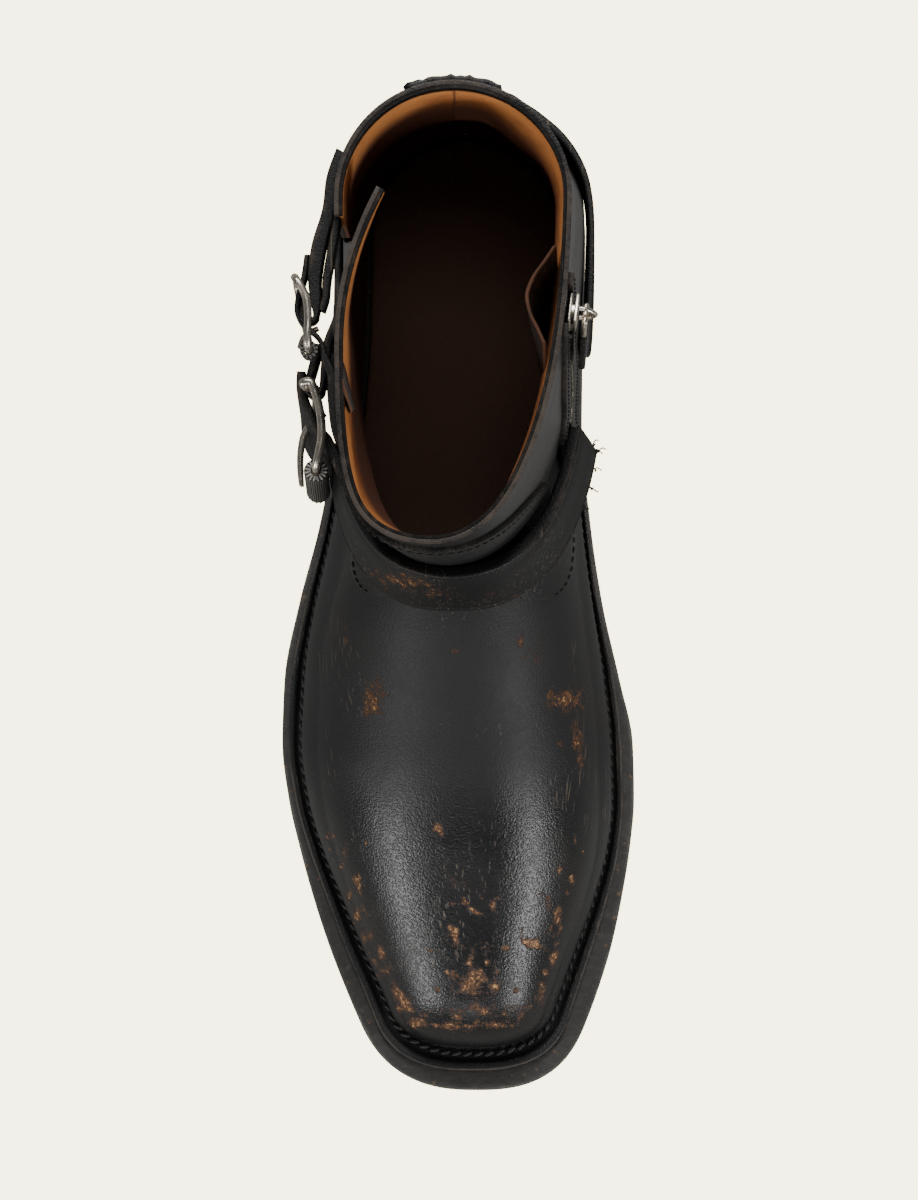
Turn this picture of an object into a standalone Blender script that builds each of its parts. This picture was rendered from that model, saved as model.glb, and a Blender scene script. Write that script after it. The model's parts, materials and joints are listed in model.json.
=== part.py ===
"""Square-toe engineer boot for the right foot, built as a bootmaker puts it together.

Sizes in the tables are millimetres; meshes are written in metres. The toe points to -Y, the inner
(medial) side of the foot is +X, and the origin is the middle of the heel's tread on the floor.
"""

import math
from collections import namedtuple

import bmesh
import bpy
from mathutils import Matrix, Vector
from mathutils.bvhtree import BVHTree

MM = 0.001
TOUCH = 0.3

# Soles: bottom height along the foot, and the thickness of each layer
SoleHeight = namedtuple("SoleHeight", "y bottom")
SOLE_HEIGHTS = (
    SoleHeight(-272, 12.5),
    SoleHeight(-240, 4.6),
    SoleHeight(-215, 0.9),
    SoleHeight(-196, 0.0),
    SoleHeight(-150, 0.0),
    SoleHeight(-120, 5.0),
    SoleHeight(-90, 14.5),
    SoleHeight(-60, 23.5),
    SoleHeight(-30, 29.0),
    SoleHeight(0, 31.5),
    SoleHeight(40, 33.0),
)
OUTSOLE_THICKNESS = 5.0
MIDSOLE_THICKNESS = 4.0
WELT_THICKNESS = 3.0
INSOLE_THICKNESS = 5.0
FEATHER_RISE = OUTSOLE_THICKNESS + MIDSOLE_THICKNESS + WELT_THICKNESS + 3 * TOUCH

# Plan of the last, the welt and the sole: half widths to the outer and the inner side of the foot
Plan = namedtuple("Plan", "y last_outer last_inner welt_outer welt_inner sole_outer sole_inner")
PLANS = (
    Plan(-272, 12.0, 16.5, 20.0, 25.5, 24.5, 32.0),
    Plan(-256, 17.7, 22.5, 25.5, 30.0, 30.5, 36.0),
    Plan(-240, 23.8, 27.8, 31.8, 35.4, 37.5, 42.0),
    Plan(-225, 30.6, 33.2, 38.3, 40.6, 43.5, 46.8),
    Plan(-209, 37.4, 39.0, 44.4, 45.6, 48.8, 50.3),
    Plan(-193, 43.7, 43.2, 50.2, 49.2, 53.2, 52.9),
    Plan(-178, 48.2, 44.9, 54.3, 50.4, 56.6, 54.2),
    Plan(-160, 50.6, 44.5, 56.6, 49.9, 58.7, 53.8),
    Plan(-140, 49.8, 42.4, 55.6, 47.6, 58.0, 49.6),
    Plan(-115, 46.0, 38.6, 50.9, 42.6, 53.0, 43.8),
    Plan(-90, 40.8, 35.4, 44.5, 38.8, 46.2, 39.8),
    Plan(-60, 36.0, 32.4, 39.6, 35.8, 40.6, 36.8),
    Plan(-30, 33.6, 32.4, 37.0, 36.0, 38.0, 37.0),
    Plan(0, 33.0, 33.0, 36.8, 36.8, 37.7, 37.7),
    Plan(40, 33.0, 33.0, 36.8, 36.8, 37.7, 37.7),
)
Ends = namedtuple("Ends", "toe toe_reach toe_power heel heel_reach")
LAST_ENDS = Ends(-256.0, 13.0, 2.6, 33.0, 33.0)
WELT_ENDS = Ends(-263.5, 16.0, 2.6, 36.8, 36.8)
SOLE_ENDS = Ends(-270.0, 22.0, 2.6, 37.7, 37.7)
ROUND_STEPS = 7
MIDDLE_START, MIDDLE_END = -236.5, -0.5
WELT_UNDER = 3.2
INSOLE_INSET = 3.8

# Ankle and shaft: half width, sideways lean and back edge at each height
Body = namedtuple("Body", "z half centre back")
BODIES = (
    Body(30, 33.0, 0.0, 32.0),
    Body(45, 33.0, 0.0, 33.0),
    Body(62, 35.2, 0.0, 36.4),
    Body(80, 36.4, 0.0, 36.0),
    Body(100, 36.2, -0.4, 33.2),
    Body(125, 35.4, -1.2, 30.8),
    Body(155, 34.4, -2.4, 31.0),
    Body(190, 33.7, -3.7, 33.0),
)

# Sections over the instep, from the toe box to the collar. Each is a plane that meets the ridge
# of the boot at ridge_y, ridge_z. The arches say how squarely each side turns over the ridge.
Section = namedtuple("Section", "at ridge_y ridge_z ridge_x arch_outer arch_inner")
SECTIONS = (
    Section(1, -236.0, 50.0, 4.5, 3.1, 3.1),
    Section(2, -214.0, 55.0, 4.5, 2.9, 2.9),
    Section(3, -192.0, 61.0, 4.0, 2.6, 2.7),
    Section(4, -170.0, 67.5, 3.0, 2.4, 2.5),
    Section(5, -150.0, 75.0, 1.5, 2.3, 2.5),
    Section(6, -133.0, 83.5, 0.0, 2.4, 2.8),
    Section(7, -121.0, 91.5, -1.0, 2.7, 3.2),
    Section(8, -112.3, 99.8, -2.4, 3.3, 3.6),
    Section(9, -106.0, 110.0, -4.0, 4.6, 3.8),
    Section(10, -102.2, 122.5, -5.4, 5.8, 3.8),
    Section(11, -101.0, 137.0, -6.6, 7.0, 3.7),
    Section(12, -100.0, 152.0, -7.8, 8.0, 3.5),
    Section(13, -99.0, 168.0, -9.0, 9.0, 3.3),
    Section(14, -98.2, 184.0, -10.0, 10.0, 3.1),
)
LAST_FOOT_SECTION = 8
HEEL_SECTION = 9
COLLAR_SECTION = 14
SectionFoot = namedtuple("SectionFoot", "at y")
SECTION_FEET = (
    SectionFoot(1, -236),
    SectionFoot(2, -212),
    SectionFoot(3, -186),
    SectionFoot(4, -159),
    SectionFoot(5, -129),
    SectionFoot(6, -95),
    SectionFoot(7, -50),
    SectionFoot(8, 0),
)
SectionBack = namedtuple("SectionBack", "at z")
SECTION_BACKS = (
    SectionBack(9, 46.5),
    SectionBack(10, 73),
    SectionBack(11, 100),
    SectionBack(12, 128),
    SectionBack(13, 158),
    SectionBack(14, 188),
)
TOE_TOP_REACH = 18.0
TOE_TOP_POWER = 2.3
FEATHER_BULGE = 1.9
WALL = 2.4
HEEL_CUP_START = 4.0
HEEL_CUP_RISE = 9.0

# Slit in the outer side of the shaft, whose front edge tucks in behind the back panel
SLIT_TURN = 0.638
SLIT_START = 11.0
SLIT_BEND = 0.2
SLIT_TUCK = 12.0
SLIT_LAP = 9.5
SLIT_GAP = 1.4

SHAFT_CENTRE = Vector((0.0, -35.0, 80.0))
OUTSOLE_INSET = 0.8

# Heel: breast line and the rubber that meets the floor
HEEL_BREAST = -36.0
HEEL_MIDDLE = -16.9
TOP_LIFT_THICKNESS = 7.0

# Overlays on the upper. Each edge is read by its turn from the ridge to the welt.
PATCH_LIFT = 0.8
TAB_THICKNESS = 1.3
OverlayEdge = namedtuple("OverlayEdge", "turn at")
VAMP_TAB_FOOT = 9.0
VAMP_TAB_TOP = (
    OverlayEdge(-0.34, 10.0),
    OverlayEdge(-0.32, 10.8),
    OverlayEdge(-0.26, 11.8),
    OverlayEdge(-0.18, 12.6),
    OverlayEdge(-0.09, 13.0),
    OverlayEdge(0.0, 13.0),
    OverlayEdge(0.09, 12.7),
    OverlayEdge(0.17, 12.0),
    OverlayEdge(0.23, 11.2),
    OverlayEdge(0.26, 10.4),
    OverlayEdge(0.27, 9.9),
)
SideTab = namedtuple("SideTab", "y low high")
SIDE_TAB_OUTER = (
    SideTab(-84.0, 84.0, 97.0),
    SideTab(-86.0, 78.0, 97.0),
    SideTab(-90.0, 73.0, 97.0),
    SideTab(-96.0, 70.0, 97.0),
    SideTab(-102.0, 70.0, 96.0),
    SideTab(-107.0, 72.5, 95.0),
    SideTab(-110.5, 77.0, 93.0),
    SideTab(-112.5, 83.0, 90.5),
)
SIDE_TAB_INNER = (
    SideTab(-85.0, 82.0, 97.0),
    SideTab(-87.0, 75.5, 97.0),
    SideTab(-91.0, 70.5, 97.0),
    SideTab(-97.0, 67.5, 97.0),
    SideTab(-103.0, 68.0, 96.0),
    SideTab(-108.0, 71.0, 94.5),
    SideTab(-111.5, 76.0, 92.0),
    SideTab(-113.5, 82.0, 89.5),
)
BACKSTAY_TURNS = (-0.09, -0.06, -0.03, 0.0, 0.03, 0.06, 0.09)
BACKSTAY_FOOT = 9.6
BACKSTAY_TOP = 13.95

# Zip on the inner side, from the collar down and forward
ZipPoint = namedtuple("ZipPoint", "z y")
ZIP_LINE = (
    ZipPoint(50, -79.0),
    ZipPoint(66, -73.5),
    ZipPoint(92, -64.0),
    ZipPoint(118, -54.5),
    ZipPoint(150, -42.5),
    ZipPoint(188, -28.0),
)
ZIP_STEPS = 12
ZIP_FOOT, ZIP_TOP = 62.0, 183.0
ZIP_CHAIN_TOP = 169.0
SLIDER_ROOM = 2.6
FACING_THICKNESS = 1.2
SLIDER_Z = 177.0
HINGE_UP, HINGE_OUT = 0.5, 5.5
GUARD_FOOT, GUARD_TOP = 132.0, 182.0
GUARD_BACK, GUARD_FRONT = 12.0, -16.0
GUARD_SHAPE = (0.6, 3.5, 6.6, 8.0, 6.8, 3.8, 0.8)
GUARD_LIFT = 0.9
GUARD_THICKNESS = 1.4

# Straps: outer edges of the strap over the instep, from the zip round the front to the buckle
STRAP_THICKNESS = 2.7
STRAP_CLEAR = 0.8
StrapEdge = namedtuple("StrapEdge", "top_x top_y top_z low_x low_y low_z")
INSTEP_STRAP = (
    StrapEdge(34.6, -62.5, 108.0, 40.2, -69.0, 83.5),
    StrapEdge(31.5, -76.0, 111.0, 38.0, -79.5, 85.0),
    StrapEdge(27.3, -86.0, 114.0, 33.8, -90.5, 88.0),
    StrapEdge(19.4, -96.0, 119.0, 24.5, -104.8, 93.5),
    StrapEdge(8.5, -103.0, 122.8, 10.5, -113.8, 98.0),
    StrapEdge(-3.2, -105.7, 124.0, -3.2, -115.8, 100.0),
    StrapEdge(-14.0, -104.4, 122.0, -16.2, -114.6, 98.0),
    StrapEdge(-24.0, -99.6, 118.2, -27.5, -108.2, 94.0),
    StrapEdge(-31.5, -91.0, 114.5, -35.6, -97.0, 90.0),
    StrapEdge(-36.6, -81.0, 111.5, -40.0, -84.5, 86.5),
    StrapEdge(-39.6, -74.0, 110.0, -41.4, -76.0, 85.0),
    StrapEdge(-43.0, -66.0, 109.4, -44.4, -67.0, 84.4),
    StrapEdge(-48.4, -58.0, 109.2, -49.0, -58.0, 84.2),
    StrapEdge(-51.0, -50.5, 109.0, -51.2, -50.5, 84.0),
    StrapEdge(-50.8, -45.5, 109.0, -50.9, -45.5, 84.0),
)
HEEL_STRAP_ANGLES = tuple(range(-8, 175, 7))
HEEL_STRAP_LOW, HEEL_STRAP_HIGH = 84.0, 109.0
HEEL_STRAP_DIP = 6.0
BUCKLE_BAR_X, BUCKLE_BAR_Y, BUCKLE_WIRE = -45.4, -50.5, 1.25
FOLD_LEATHER = 1.2
StrapPlan = namedtuple("StrapPlan", "bar_x bar_y far_x far_y low high")
HEEL_STRAP_REACH = (
    StrapPlan(-42.4, -36.0, -39.8, -36.6, 84.0, 109.0),
    StrapPlan(-43.4, -44.0, -41.4, -44.6, 84.0, 109.0),
)
HEEL_STRAP_TUCK = (
    StrapPlan(-45.6, -46.5, -47.0, -46.0, 84.0, 109.0),
    StrapPlan(-44.5, -42.0, -45.8, -41.6, 84.0, 109.0),
    StrapPlan(-43.7, -37.5, -44.9, -37.2, 84.0, 109.0),
)
Slot = namedtuple("Slot", "front back low high outside inside")
INSTEP_SLOT = Slot(-66.5, -55.5, 95.0, 99.6, -56.0, -38.0)

# Big roller buckle: its wire in a closed loop, heel bar behind and roller bar in front
LoopPoint = namedtuple("LoopPoint", "x y z")
BUCKLE_FRAME = (
    LoopPoint(-45.4, -50.5, 84.0),
    LoopPoint(-45.4, -50.5, 97.0),
    LoopPoint(-45.4, -50.5, 109.6),
    LoopPoint(-45.2, -52.2, 113.0),
    LoopPoint(-43.4, -58.0, 113.6),
    LoopPoint(-43.0, -65.0, 113.8),
    LoopPoint(-44.4, -72.2, 113.6),
    LoopPoint(-44.8, -75.0, 111.4),
    LoopPoint(-44.8, -78.2, 97.0),
    LoopPoint(-44.8, -81.4, 82.6),
    LoopPoint(-44.4, -79.4, 80.2),
    LoopPoint(-44.6, -71.0, 79.8),
    LoopPoint(-45.6, -58.0, 79.8),
    LoopPoint(-45.6, -52.2, 80.4),
)
Roller = namedtuple("Roller", "low high radius")
BUCKLE_ROLLER = Roller((-44.8, -81.1, 83.8), (-44.8, -75.3, 110.2), 3.65)
Prong = namedtuple("Prong", "path radius")
BUCKLE_PRONG = Prong(
    ((-42.4, -57.6, 97.3), (-45.6, -60.0, 97.3), (-48.6, -64.0, 97.3), (-49.8, -70.0, 97.3),
     (-49.8, -76.0, 97.3), (-49.4, -80.0, 97.3)),
    1.1,
)

# Collar strap and its small buckle, on the outer side
COLLAR_STRAP_LOW, COLLAR_STRAP_HIGH = 167.0, 182.0
SMALL_BAR_X, SMALL_BAR_Y, SMALL_WIRE = -44.6, -33.0, 0.9
SMALL_FOLD_LEATHER = 1.0
COLLAR_STRAP_REACH = (
    StrapPlan(-36.8, 14.2, -34.5, 12.9, 167.0, 182.0),
    StrapPlan(-39.4, 6.2, -37.0, 5.7, 167.0, 182.0),
    StrapPlan(-40.0, -3.0, -37.5, -3.2, 167.0, 182.0),
    StrapPlan(-43.0, -13.0, -40.4, -13.6, 167.0, 182.0),
    StrapPlan(-44.0, -23.0, -42.0, -23.4, 167.0, 182.0),
    StrapPlan(-43.6, -28.5, -42.0, -28.8, 167.0, 182.0),
)
COLLAR_STRAP_TUCK = (
    StrapPlan(-45.6, -30.0, -46.5, -29.6, 167.0, 182.0),
    StrapPlan(-44.8, -26.5, -45.7, -26.2, 167.0, 182.0),
)
COLLAR_BILLET = (
    StrapPlan(-38.0, -66.2, -36.6, -66.0, 168.0, 181.0),
    StrapPlan(-38.6, -58.0, -37.15, -57.9, 168.0, 181.0),
    StrapPlan(-38.9, -50.0, -37.4, -50.0, 168.0, 181.0),
    StrapPlan(-41.2, -44.5, -39.9, -44.2, 168.0, 181.0),
    StrapPlan(-41.5, -41.5, -40.2, -41.0, 168.0, 181.0),
    StrapPlan(-43.6, -38.8, -42.5, -37.9, 168.0, 181.0),
    StrapPlan(-46.7, -36.4, -45.8, -35.3, 168.0, 181.0),
    StrapPlan(-48.6, -32.8, -47.2, -32.6, 168.0, 181.0),
    StrapPlan(-48.6, -28.0, -47.2, -27.8, 168.0, 181.0),
    StrapPlan(-47.2, -22.5, -46.0, -22.2, 168.0, 181.0),
    StrapPlan(-46.4, -15.0, -45.2, -15.0, 168.0, 181.0),
)
COLLAR_SLOT = Slot(-40.8, -36.2, 173.2, 175.8, -52.0, -38.0)
SMALL_FRAME = (
    LoopPoint(-48.6, -22.5, 167.0),
    LoopPoint(-48.6, -22.5, 182.0),
    LoopPoint(-48.4, -24.2, 184.6),
    LoopPoint(-46.6, -33.0, 184.8),
    LoopPoint(-44.9, -41.4, 184.6),
    LoopPoint(-44.6, -43.0, 182.0),
    LoopPoint(-44.6, -43.0, 167.0),
    LoopPoint(-44.9, -41.4, 164.4),
    LoopPoint(-46.6, -33.0, 164.2),
    LoopPoint(-48.4, -24.2, 164.4),
)
SMALL_ROLLER = Roller((-44.6, -43.0, 167.4), (-44.6, -43.0, 181.6), 2.6)
SMALL_PRONG = Prong(
    ((-42.0, -36.6, 174.5), (-45.6, -38.0, 174.5), (-48.0, -40.0, 174.5), (-48.3, -44.6, 174.5)),
    0.8,
)

OUTER, INNER = -1, 1


def mix(a, b, t):
    return a + (b - a) * t


def span(start, end, count):
    return [mix(start, end, i / count) for i in range(count)]


# Places of the upper's rings of vertices, closer together where the form turns
UPPER_ROWS = (
    [0.0, 0.16, 0.32, 0.5, 0.72]
    + span(1, 8, 15)
    + span(8, 9, 4)
    + span(9, 11, 4)
    + span(11, 14, 6)
    + [14.0]
)


def smooth(t):
    """Eases from 0 to 1 as t goes from 0 to 1."""
    t = min(max(t, 0.0), 1.0)
    return t * t * (3 - 2 * t)


def rounded(depth, reach, power):
    """Share of full width at a depth from an end that rounds over within reach."""
    short = 1 - min(max(depth / reach, 0.0), 1.0)
    return max(1 - short**power, 0.0) ** (1 / power)


def read(rows, key, column, at):
    """A table's column at a place between its rows, on a curve that never overshoots them."""
    xs = [getattr(row, key) for row in rows]
    ys = [getattr(row, column) for row in rows]
    if at <= xs[0]:
        return ys[0]
    if at >= xs[-1]:
        return ys[-1]
    slopes = [(ys[i + 1] - ys[i]) / (xs[i + 1] - xs[i]) for i in range(len(xs) - 1)]
    i = max(k for k in range(len(xs) - 1) if xs[k] <= at)

    def tangent(k):
        if k in (0, len(xs) - 1):
            return slopes[min(k, len(slopes) - 1)]
        before, after = slopes[k - 1], slopes[k]
        if before * after <= 0:
            return 0.0
        return 2 * before * after / (before + after)

    h = xs[i + 1] - xs[i]
    t = (at - xs[i]) / h
    start = (1 + 2 * t) * (1 - t) ** 2 * ys[i] + t * (1 - t) ** 2 * h * tangent(i)
    end = t * t * (3 - 2 * t) * ys[i + 1] + t * t * (t - 1) * h * tangent(i + 1)
    return start + end


def foot_y(at):
    """Where along the foot a section meets the welt."""
    if at < 1:
        return mix(LAST_ENDS.toe, SECTIONS[0].ridge_y, 1 - math.cos(at * math.pi / 2))
    if at <= LAST_FOOT_SECTION:
        return read(SECTION_FEET, "at", "y", at)
    return LAST_ENDS.heel * math.sin((at - LAST_FOOT_SECTION) * math.pi / 2)


def sole_stations():
    """Places along the foot where every layer has vertices, so that they all bend at the same lines."""
    feet = [foot_y(at) for at in UPPER_ROWS if at <= HEEL_SECTION]
    return [-272.0, -263.0] + feet + [40.0]


def sole_bottom(y):
    """Height of the sole's underside, straight between stations."""
    stations = sole_stations()
    after = next((k for k in range(1, len(stations) - 1) if stations[k] > y), len(stations) - 1)
    low, high = stations[after - 1], stations[after]
    start, end = (read(SOLE_HEIGHTS, "y", "bottom", at) for at in (low, high))
    return mix(start, end, (y - low) / (high - low))


def feather_z(y):
    """Height of the line where the upper meets the welt."""
    return sole_bottom(y) + FEATHER_RISE


def plan_half(y, kind):
    """Centre line and half width of the last or the sole at y, before its ends round over."""
    outer = read(PLANS, "y", kind + "_outer", y)
    inner = read(PLANS, "y", kind + "_inner", y)
    return (inner - outer) / 2, (inner + outer) / 2


def outline(kind, ends, inset):
    """Outer and inner edge of a plan at stations from toe to heel, drawn in by inset."""
    toe, heel = ends.toe + inset, ends.heel - inset
    turns = [1 - math.cos(math.pi / 2 * i / ROUND_STEPS) for i in range(ROUND_STEPS + 1)]
    rounds = [toe + (ends.toe_reach - 1) * t for t in turns] + [heel - (ends.heel_reach - 4) * t for t in turns]
    middle = [y for y in sole_stations() if MIDDLE_START < y < MIDDLE_END]
    toe_reach = max(ends.toe_reach - inset, 4.0)
    return [edges_at(kind, y, inset, rounded(y - toe, toe_reach, ends.toe_power), heel, ends.heel_reach - inset)
            for y in sorted(rounds + middle)]


def edges_at(kind, y, inset, toe_share, heel, heel_reach):
    """Outer and inner edge of a plan at one station."""
    centre, half = plan_half(y, kind)
    width = (half - inset) * toe_share * rounded(heel - y, heel_reach, 2.0)
    return (centre - width, y), (centre + width, y)


def heel_outline(breast, inset):
    """Edges of the heel: straight across the breast and round behind."""
    heel, reach = SOLE_ENDS.heel - inset, SOLE_ENDS.heel_reach - inset
    turns = [1 - math.sin(math.pi / 2 * i / ROUND_STEPS) for i in range(ROUND_STEPS + 1)]
    stations = [breast, HEEL_MIDDLE] + [heel - (SOLE_ENDS.heel_reach - 4) * turn for turn in turns]
    return [edges_at("sole", y, inset, 1.0, heel, reach) for y in stations]


def back_y(z):
    return read(BODIES, "z", "back", z)


def section_line(at):
    """Bottom and ridge ends of a section's plane, as (y, z) pairs."""
    y = foot_y(at)
    if at < 1:
        rise = (SECTIONS[1].ridge_z - SECTIONS[0].ridge_z) / (SECTIONS[1].ridge_y - SECTIONS[0].ridge_y)
        top = SECTIONS[0].ridge_z + rise * (y - SECTIONS[0].ridge_y)
        height = (top - feather_z(y)) * rounded(y - LAST_ENDS.toe, TOE_TOP_REACH, TOE_TOP_POWER)
        return (y, feather_z(y)), (y, feather_z(y) + height)
    ridge = (read(SECTIONS, "at", "ridge_y", at), read(SECTIONS, "at", "ridge_z", at))
    if at <= HEEL_SECTION:
        return (y, feather_z(y)), ridge
    z = read(SECTION_BACKS, "at", "z", at)
    return (back_y(z), z), ridge


def along_section(at, turn):
    """Share of the way from bottom to ridge, for a turn from 0 at the ridge to 1 at the bottom."""
    closed = smooth((at - 6) / 3)
    share = mix(math.cos(math.pi * turn / 2), (1 + math.cos(math.pi * turn)) / 2, closed)
    return min(max(share, 0.0), 1.0)


def skin(at, side, turn):
    """Point on the outer surface of the upper, in millimetres."""
    bottom, ridge = section_line(at)
    s = along_section(at, turn)
    y, z = mix(bottom[0], ridge[0], s), mix(bottom[1], ridge[1], s)
    arch = read(SECTIONS, "at", "arch_outer" if side == OUTER else "arch_inner", at)
    over = max(1 - s**arch, 0.0) ** 0.5
    centre, half = plan_half(y, "last")
    toe_share = rounded(y - LAST_ENDS.toe, LAST_ENDS.toe_reach, LAST_ENDS.toe_power)
    half = half * toe_share + FEATHER_BULGE * toe_share * math.sin(math.pi * min(s / 0.45, 1.0))
    ankle = smooth((z - feather_z(y) - 2) / 35) * smooth((y + 125) / 60)
    centre = mix(centre, read(BODIES, "z", "centre", z), ankle)
    half = mix(half, read(BODIES, "z", "half", z), ankle)
    half *= rounded(back_y(z) - y, LAST_ENDS.heel_reach, 2.0)
    ridge_x = read(SECTIONS, "at", "ridge_x", at)
    x = centre + side * half * over + (ridge_x - centre) * (1 - over)
    if side == OUTER and turn <= SLIT_TURN and at > SLIT_START:
        x, y = tuck_front_panel(at, turn, x, y)
    return Vector((x, y, z))


def tuck_front_panel(at, turn, x, y):
    """Moves the front panel's edge in behind the back panel, more towards the collar."""
    opening = smooth((at - SLIT_START) / (COLLAR_SECTION - SLIT_START))
    bend = max((turn - SLIT_TURN + SLIT_BEND) / SLIT_BEND, 0.0) ** 1.6
    tuck = SLIT_TUCK * opening
    gap = SLIT_GAP * min((at - SLIT_START) / 0.4, 1.0)
    lap = SLIT_LAP * smooth((tuck - 4.0) / 7.0)
    return x + tuck * bend, y + (lap - gap) * bend


def new_object(name, bm, material, smooth_angle=35):
    """Writes a bmesh in millimetres as a named object in metres."""
    bmesh.ops.scale(bm, vec=(MM, MM, MM), verts=bm.verts)
    mesh = bpy.data.meshes.new(name)
    bm.to_mesh(mesh)
    bm.free()
    mesh.materials.append(material)
    mesh.shade_smooth()
    mesh.set_sharp_from_angle(angle=math.radians(smooth_angle))
    made = bpy.data.objects.new(name, mesh)
    bpy.context.scene.collection.children["engineer_boot"].objects.link(made)
    return made


def add_grid(bm, columns, rows, place):
    """A grid of vertices, each put at place(column, row), with its quads."""
    made = bmesh.ops.create_grid(bm, x_segments=columns - 1, y_segments=rows - 1, size=0.5)["verts"]
    for vert in made:
        column = round((vert.co.x + 0.5) * (columns - 1))
        row = round((vert.co.y + 0.5) * (rows - 1))
        vert.co = place(column, row)
    return made


def upper_surface():
    """The upper as one open sheet: an outer back panel, and the rest round to the slit."""
    bm = bmesh.new()
    rows = UPPER_ROWS
    back_turns = span(SLIT_TURN, 1, 5) + [1.0]
    inner_turns = span(1, 0, 14)
    outer_turns = span(0, SLIT_TURN, 9) + [SLIT_TURN]
    front = [(INNER, t) for t in inner_turns] + [(OUTER, t) for t in outer_turns]

    def back_place(column, row):
        turn = back_turns[column]
        point = skin(rows[row], OUTER, turn + 1e-9)
        return point

    def front_place(column, row):
        side, turn = front[column]
        return skin(rows[row], side, turn)

    add_grid(bm, len(back_turns), len(rows), back_place)
    add_grid(bm, len(front), len(rows), front_place)
    bmesh.ops.remove_doubles(bm, verts=bm.verts, dist=0.02)
    bmesh.ops.dissolve_degenerate(bm, edges=bm.edges, dist=0.01)
    bmesh.ops.reverse_faces(bm, faces=bm.faces)
    return bm


def thicken(bm, wall):
    """Gives the upper's sheet a wall inwards, level along the welt and round the collar."""
    bm.normal_update()
    inward = bm.verts.layers.float_vector.new("inward")
    for vert in bm.verts:
        way = -vert.normal
        on_welt = abs(vert.co.z - feather_z(vert.co.y)) < 0.01
        if vert.is_boundary and (on_welt or vert.co.z > SECTIONS[-1].ridge_z - 0.01):
            way.z = 0
        if vert.co.y > HEEL_CUP_START and vert.co.z < feather_z(vert.co.y) + HEEL_CUP_RISE:
            way = Vector((-vert.co.x, -vert.co.y, 0))
        vert[inward] = way.normalized() * wall
    raised = bmesh.ops.extrude_face_region(bm, geom=bm.faces[:])
    for item in raised["geom"]:
        if isinstance(item, bmesh.types.BMVert):
            item.co += item[inward]
    bmesh.ops.recalc_face_normals(bm, faces=bm.faces)


def make_upper(material):
    bm = upper_surface()
    thicken(bm, WALL)
    return new_object("upper", bm, material, 50)


def slab(name, pairs, bottom, top, material):
    """A sole layer straight across the foot, between the heights bottom(y) and top(y)."""
    bm = bmesh.new()

    def place(column, row):
        x, y = pairs[row][column]
        return Vector((x, y, bottom(y)))

    add_grid(bm, 2, len(pairs), place)
    bmesh.ops.remove_doubles(bm, verts=bm.verts, dist=0.001)
    raise_to(bm, top)
    return new_object(name, bm, material)


def raise_to(bm, top):
    """Gives a sheet straight upright sides up to the heights top(y)."""
    raised = bmesh.ops.extrude_face_region(bm, geom=bm.faces[:])
    for item in raised["geom"]:
        if isinstance(item, bmesh.types.BMVert):
            item.co.z = top(item.co.y)
    bmesh.ops.recalc_face_normals(bm, faces=bm.faces)


def above_sole(rise):
    return lambda y: sole_bottom(y) + rise


def level(height):
    return lambda y: height


def make_welt(material):
    """A flat strip round the upper, reaching in under its wall."""
    outer, inner = (
        [pair[0] for pair in pairs] + [pair[1] for pair in pairs[-2:0:-1]]
        for pairs in (outline("welt", WELT_ENDS, 0), outline("last", LAST_ENDS, WELT_UNDER))
    )
    rise = OUTSOLE_THICKNESS + MIDSOLE_THICKNESS + 2 * TOUCH
    bm = bmesh.new()

    def place(column, row):
        x, y = (outer, inner)[row][column % len(outer)]
        return Vector((x, y, sole_bottom(y) + rise))

    add_grid(bm, len(outer) + 1, 2, place)
    bmesh.ops.remove_doubles(bm, verts=bm.verts, dist=0.001)
    raise_to(bm, above_sole(rise + WELT_THICKNESS))
    return new_object("welt", bm, material)


def make_soles(sole_leather, tan_leather, rubber):
    outsole = outline("sole", SOLE_ENDS, OUTSOLE_INSET)
    midsole = outline("sole", SOLE_ENDS, 0)
    lift = OUTSOLE_THICKNESS + TOUCH
    insole_rise = FEATHER_RISE - WELT_THICKNESS
    slab("outsole", outsole, above_sole(0), above_sole(OUTSOLE_THICKNESS), sole_leather)
    slab("midsole", midsole, above_sole(lift), above_sole(lift + MIDSOLE_THICKNESS), sole_leather)
    insole = outline("last", LAST_ENDS, INSOLE_INSET)
    slab("insole", insole, above_sole(insole_rise), above_sole(insole_rise + INSOLE_THICKNESS), tan_leather)
    seat = heel_outline(HEEL_BREAST, 0.4)
    slab("heel_stack", seat, level(TOP_LIFT_THICKNESS + TOUCH), above_sole(-TOUCH), sole_leather)
    slab("top_lift", heel_outline(HEEL_BREAST + 1.5, 1.4), level(0), level(TOP_LIFT_THICKNESS), rubber)


class Skin:
    """Rays onto the pieces already made, so that the next ones can lie on them."""

    def __init__(self, names):
        bm = bmesh.new()
        for name in names:
            bm.from_mesh(bpy.data.objects[name].data)
        bmesh.ops.scale(bm, vec=(1 / MM, 1 / MM, 1 / MM), verts=bm.verts)
        self.tree = BVHTree.FromBMesh(bm)
        bm.free()

    def from_side(self, side, y, z):
        """Outermost point on one side at y, z, with its normal."""
        place, normal, _, _ = self.tree.ray_cast(Vector((side * 200, y, z)), Vector((-side, 0, 0)))
        return place, normal

    def nearest(self, point):
        return self.tree.find_nearest(point)[0]

    def reach(self, axis, way, z):
        """How far out from an upright axis the pieces reach along a level way."""
        start = Vector((axis[0], axis[1], z)) + way * 200
        place, _, _, distance = self.tree.ray_cast(start, -way)
        return 200 - distance if place else 0.0


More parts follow.
